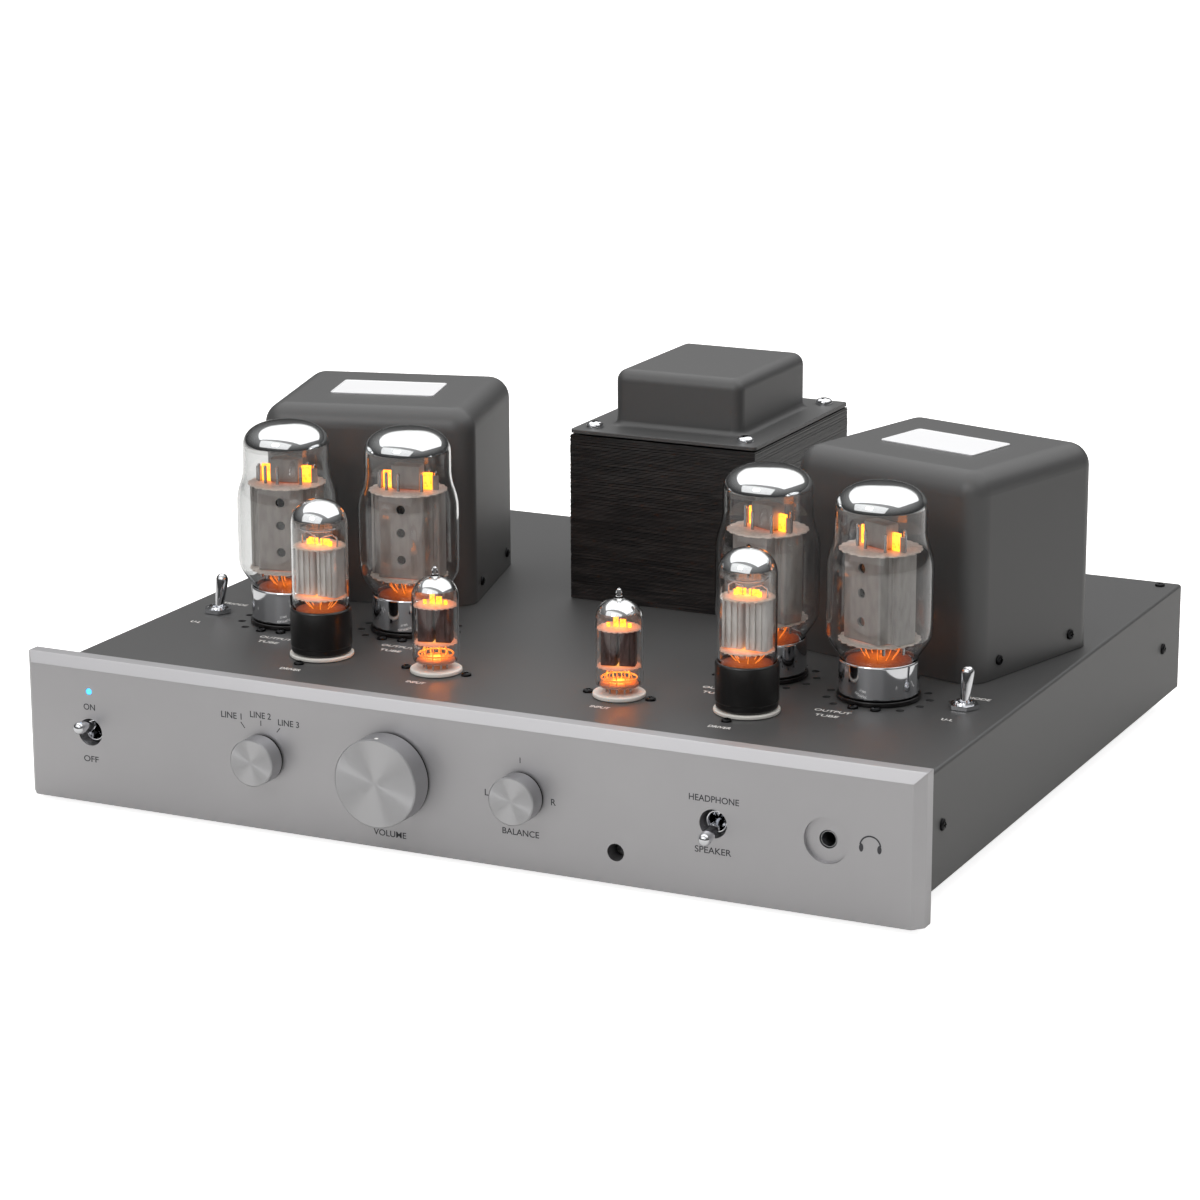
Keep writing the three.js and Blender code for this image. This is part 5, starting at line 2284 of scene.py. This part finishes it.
@dataclass
class Lettering:
    """Screen-printed function names on the panel and on the deck."""

    cap: float = 3.0
    ink: float = 0.03
    panel_words: tuple[Word, ...] = (
        Word("ON", -192.0, 47.4, 6.4),
        Word("OFF", -192.0, 21.8, 8.2),
        Word("LINE 1", -113.6, 53.4, 11.0),
        Word("LINE 2", -97.9, 55.3, 11.2),
        Word("LINE 3", -83.0, 53.2, 11.2),
        Word("VOLUME", -30.7, 7.5, 17.0),
        Word("BALANCE", 36.5, 17.5, 18.5),
        Word("L", 19.5, 34.2, 2.0),
        Word("R", 53.0, 34.1, 2.4),
        Word("HEADPHONE", 131.3, 46.2, 24.0),
        Word("SPEAKER", 131.0, 22.6, 17.5),
    )
    ticks: tuple[tuple[float, float, float, float], ...] = (
        (-108.6, 50.8, -106.5, 48.1),
        (-97.8, 52.8, -97.8, 50.2),
        (-87.6, 50.4, -89.4, 48.2),
        (36.5, 52.8, 36.5, 50.2),
    )
    icon: tuple[float, float] = (204.8, 36.0)

    def word(self, word: Word) -> Form:
        """Turn a word into a flat raised form round its centre.

        Args:
            word: The word.

        Returns:
            Its form, with X along the text and Z out of the surface.
        """
        curve = bpy.data.curves.new("scratch_text", "FONT")
        curve.body = word.text
        curve.extrude = 0.02
        curve.offset = 0.012
        item = bpy.data.objects.new("scratch_text", curve)
        bpy.context.scene.collection.objects.link(item)
        bpy.context.view_layer.update()
        graph = bpy.context.evaluated_depsgraph_get()
        data = bpy.data.meshes.new_from_object(item.evaluated_get(graph))
        bpy.data.objects.remove(item)
        bpy.data.curves.remove(curve)
        form = Form()
        form.mesh.from_mesh(data)
        bpy.data.meshes.remove(data)
        bmesh.ops.remove_doubles(form.mesh, verts=form.mesh.verts, dist=1e-5)
        spots = [v.co for v in form.mesh.verts]
        low = Vector(min(p[i] for p in spots) for i in range(3))
        high = Vector(max(p[i] for p in spots) for i in range(3))
        size = high - low
        scale = (word.width / size.x, self.cap / size.y, self.ink / size.z)
        form.mesh.transform(Matrix.Diagonal((*scale, 1)) @ Matrix.Translation(-(low + high) / 2))
        return form

    def build(self) -> list[bpy.types.Object]:
        """Print the panel's and the deck's words.

        Returns:
            The pieces.
        """
        floor = PANEL_LOW.z
        print_form = Form()
        for word in self.panel_words:
            print_form.stamp(self.word(word), [front(word.x, word.y + floor, -self.ink / 2)])
        for x0, z0, x1, z1 in self.ticks:
            along = Vector((x1 - x0, z1 - z0))
            side = Vector((-along.y, along.x)).normalized() * 0.22
            start, end = Vector((x0, z0)), Vector((x1, z1))
            corners = [start - side, end - side, end + side, start + side]
            print_form.prism([tuple(c) for c in corners], 0, self.ink, front(0, floor))
        x, z = self.icon
        outer, inner = arc((0, -1), 5.1, 8, 172, 24), arc((0, -1), 4.4, 172, 8, 24)
        print_form.prism(outer + inner, 0, self.ink, front(x, z + floor))
        for sx in (-1, 1):
            cup = [(sx * 4.2 + c, -1.8 + 1.9 * s) for c, s in arc((0, 0), 1.0, 0, 342, 19)]
            print_form.prism(cup, 0, self.ink, front(x, z + floor))
        pieces = [make_piece("panel_lettering", print_form, Stock.GREY_INK, Fit(slot="panel_aluminium"))]
        deck_form = Form()
        for word in self.deck_words():
            deck_form.stamp(self.word(word), [shift(word.x, word.y, DECK + self.ink / 2)])
        pieces.append(
            make_piece("deck_lettering", deck_form, Stock.WHITE_INK, Fit(slot="black_powder_coat"))
        )
        return pieces

    def deck_words(self) -> list[Word]:
        """Work out the words beside the tubes and the mode switches.

        Returns:
            The words, placed on the deck.
        """
        words = []
        for i in range(1, 5):
            middle = node_centre(f"power_tube_{i}_socket")
            x = middle.x + (10 if i < 3 else -10)
            words += [Word("OUTPUT", x, middle.y - 31, 17.6), Word("TUBE", x, middle.y - 38.5, 11.5)]
        for i in (1, 2):
            driver, small = node_centre(f"driver_tube_{i}_socket"), node_centre(f"input_tube_{i}_socket")
            words.append(Word("DRIVER", driver.x - 1, driver.y - 28, 11.0))
            words.append(Word("INPUT", small.x, small.y - 20.5, 9.5))
        for side in ("left", "right"):
            switch = joint_point(f"mode_switch_{side}_throw")
            words.append(Word("TRIODE", switch.x, switch.y + 16.5, 14.0))
            words.append(Word("U-L", switch.x, switch.y - 21, 5.5))
        return words


# ---- studio -----------------------------------------------------------------------------


@dataclass(frozen=True)
class SoftBox:
    """A soft area lamp.

    Attributes:
        name: Its name.
        place: Where it hangs, in metres.
        target: The point it faces, in metres.
        size: Its width and depth in metres.
        watts: Its power.
    """

    name: str
    place: tuple[float, float, float]
    target: tuple[float, float, float]
    size: tuple[float, float]
    watts: float

    def hang(self) -> None:
        """Add the lamp to the scene."""
        lamp = bpy.data.lights.new(self.name, "AREA")
        lamp.shape = "RECTANGLE"
        lamp.size, lamp.size_y = self.size
        lamp.energy = self.watts
        item = bpy.data.objects.new(self.name, lamp)
        item.visible_camera = False
        bpy.context.scene.collection.objects.link(item)
        item.location = self.place
        aim = Vector(self.target) - Vector(self.place)
        item.rotation_euler = aim.to_track_quat("-Z", "Y").to_euler()


@dataclass
class HeaterLight:
    """The warm light that each tube's heaters throw on what stands near it.

    Attributes:
        spots: Start of the tubes' node names, their number, the light's height and its watts.
        colour: Colour of the light.
        radius: Radius of each lamp.
    """

    spots: tuple[tuple[str, int, float, float], ...] = (
        ("power_tube", 4, 24.0, 0.008),
        ("driver_tube", 2, 57.5, 0.004),
        ("input_tube", 2, 10.0, 0.035),
    )
    colour: str = "#ff8a30"
    radius: float = 3.0

    def hang(self) -> None:
        """Put a small warm lamp inside each bulb."""
        for kind, count, height, watts in self.spots:
            for i in range(1, count + 1):
                lamp = bpy.data.lights.new(f"{kind}_{i}_warmth", "POINT")
                lamp.color = srgb(self.colour)[:3]
                lamp.energy = watts
                lamp.shadow_soft_size = self.radius * MM
                item = bpy.data.objects.new(lamp.name, lamp)
                item.visible_camera = item.visible_transmission = item.visible_glossy = False
                bpy.context.scene.collection.objects.link(item)
                middle = node_centre(f"{kind}_{i}_socket")
                item.location = Vector((middle.x, middle.y, DECK + height)) * MM


@dataclass
class Studio:
    """White floor, even surroundings, three soft boxes and the camera."""

    floor_half: float = 14000.0
    floor_thickness: float = 20.0
    boxes: tuple[SoftBox, ...] = (
        SoftBox("overhead_box", (0.05, 0.9, 1.25), (0.05, 0.9, 0.0), (2.9, 2.8), 30.0),
        SoftBox("window_box", (-0.25, -1.6, 1.3), (0.0, 0.0, 0.1), (3.4, 1.4), 12.5),
        SoftBox("key_box", (-0.22, -1.45, 1.2), (0.0, 0.0, 0.1), (0.5, 0.4), 3.5),
    )
    camera_place: tuple[float, float, float] = (0.7666, -1.6116, 0.5522)
    camera_turn: tuple[float, float, float] = (75.118, 0.202, 25.892)
    lens: float = 112.22
    horizon: float = 0.05
    zenith: float = 0.42

    def build(self) -> None:
        """Set the stage, the light and the camera."""
        half = self.floor_half
        form = Form().box((-half, -half, -self.floor_thickness), (half, half, 0))
        form.mesh.transform(Matrix.Scale(MM, 4))
        data = bpy.data.meshes.new("studio_floor")
        form.mesh.to_mesh(data)
        form.mesh.free()
        floor = bpy.data.objects.new("studio_floor", data)
        bpy.context.scene.collection.objects.link(floor)
        data.materials.append(StudioPaper().material())
        self.surroundings()
        for box in self.boxes:
            box.hang()
        HeaterLight().hang()
        self.aim_camera()

    def surroundings(self) -> None:
        """Give the world an even grey that the camera sees as white."""
        world = bpy.data.worlds.new("studio")
        bpy.context.scene.world = world
        world.use_nodes = True
        tree = world.node_tree
        tree.nodes.clear()
        path = add_node(tree, "ShaderNodeLightPath")
        seen = add_node(tree, "ShaderNodeBackground", {"Color": (1, 1, 1, 1), "Strength": 1.0})
        height = add_node(
            tree,
            "ShaderNodeSeparateXYZ",
            links={"Vector": add_node(tree, "ShaderNodeTexCoord").outputs["Generated"]},
        ).outputs["Z"]
        rise = add_node(
            tree,
            "ShaderNodeMapRange",
            {"From Min": 0.1, "From Max": 0.9, "To Min": self.horizon, "To Max": self.zenith},
            {"Value": height},
        )
        lit = add_node(
            tree,
            "ShaderNodeBackground",
            {"Color": srgb("#ffffff")},
            {"Strength": rise.outputs["Result"]},
        )
        mixed = add_node(
            tree,
            "ShaderNodeMixShader",
            links={
                0: path.outputs["Is Camera Ray"],
                1: lit.outputs["Background"],
                2: seen.outputs["Background"],
            },
        )
        add_node(tree, "ShaderNodeOutputWorld", links={"Surface": mixed.outputs["Shader"]})

    def aim_camera(self) -> None:
        """Place the camera and take colours as they are."""
        lens = bpy.data.cameras.new("studio_camera")
        lens.lens = self.lens
        lens.sensor_width = 36.0
        lens.clip_end = 60.0
        camera = bpy.data.objects.new("studio_camera", lens)
        bpy.context.scene.collection.objects.link(camera)
        camera.location = self.camera_place
        camera.rotation_euler = [math.radians(a) for a in self.camera_turn]
        bpy.context.scene.camera = camera
        bpy.context.scene.view_settings.view_transform = "Standard"


# ---- hidden parts -----------------------------------------------------------------------


@dataclass
class HiddenParts:
    """CAD parts that stay inside the casing, with their own finishes."""

    finishes: tuple[tuple[str, Stock], ...] = (
        ("selector_switch", Stock.PLASTIC),
        ("volume_potentiometer", Stock.STEEL),
        ("balance_potentiometer", Stock.STEEL),
        ("output_transformer_left", Stock.PITCH),
        ("output_transformer_right", Stock.PITCH),
    )

    def build(self) -> list[bpy.types.Object]:
        """Dress each part.

        Returns:
            The CAD objects.
        """
        dressed = []
        for node, finish in self.finishes:
            item = frame["nodes"][node]
            item.data.materials.clear()
            item.data.materials.append(finish.value.material())
            dressed.append(item)
        return dressed


def main() -> None:
    """Build the amplifier, then the studio."""
    logging.basicConfig(level=logging.INFO, format="%(name)s: %(message)s")
    assemblies = [
        FrontPanel(), Chassis(), PowerTransformer(), OutputTransformer("left"), OutputTransformer("right")
    ]
    assemblies += [PowerTube(number=i, turn=t) for i, t in ((1, 13), (2, 10), (3, -24), (4, -24))]
    assemblies += [DriverTube(number=i) for i in (1, 2)]
    assemblies += [InputTube(number=i, turn=15) for i in (1, 2)]
    assemblies += [ToggleSwitch(n, False) for n in ("power_switch", "headphone_switch")]
    assemblies += [ToggleSwitch(n, True) for n in ("mode_switch_left", "mode_switch_right")]
    assemblies += [
        Knob("selector_knob", 10.5), Knob("volume_knob", 13.6, dot=True), Knob("balance_knob", 10.5)
    ]
    assemblies += [FrontFittings(), RearConnectors(), Lettering(), HiddenParts()]
    for assembly in assemblies:
        for piece in assembly.build():
            log.info("%s: %s, %d faces", type(assembly).__name__, piece.name, len(piece.data.polygons))
    Studio().build()


if __name__ == "__main__":
    main()
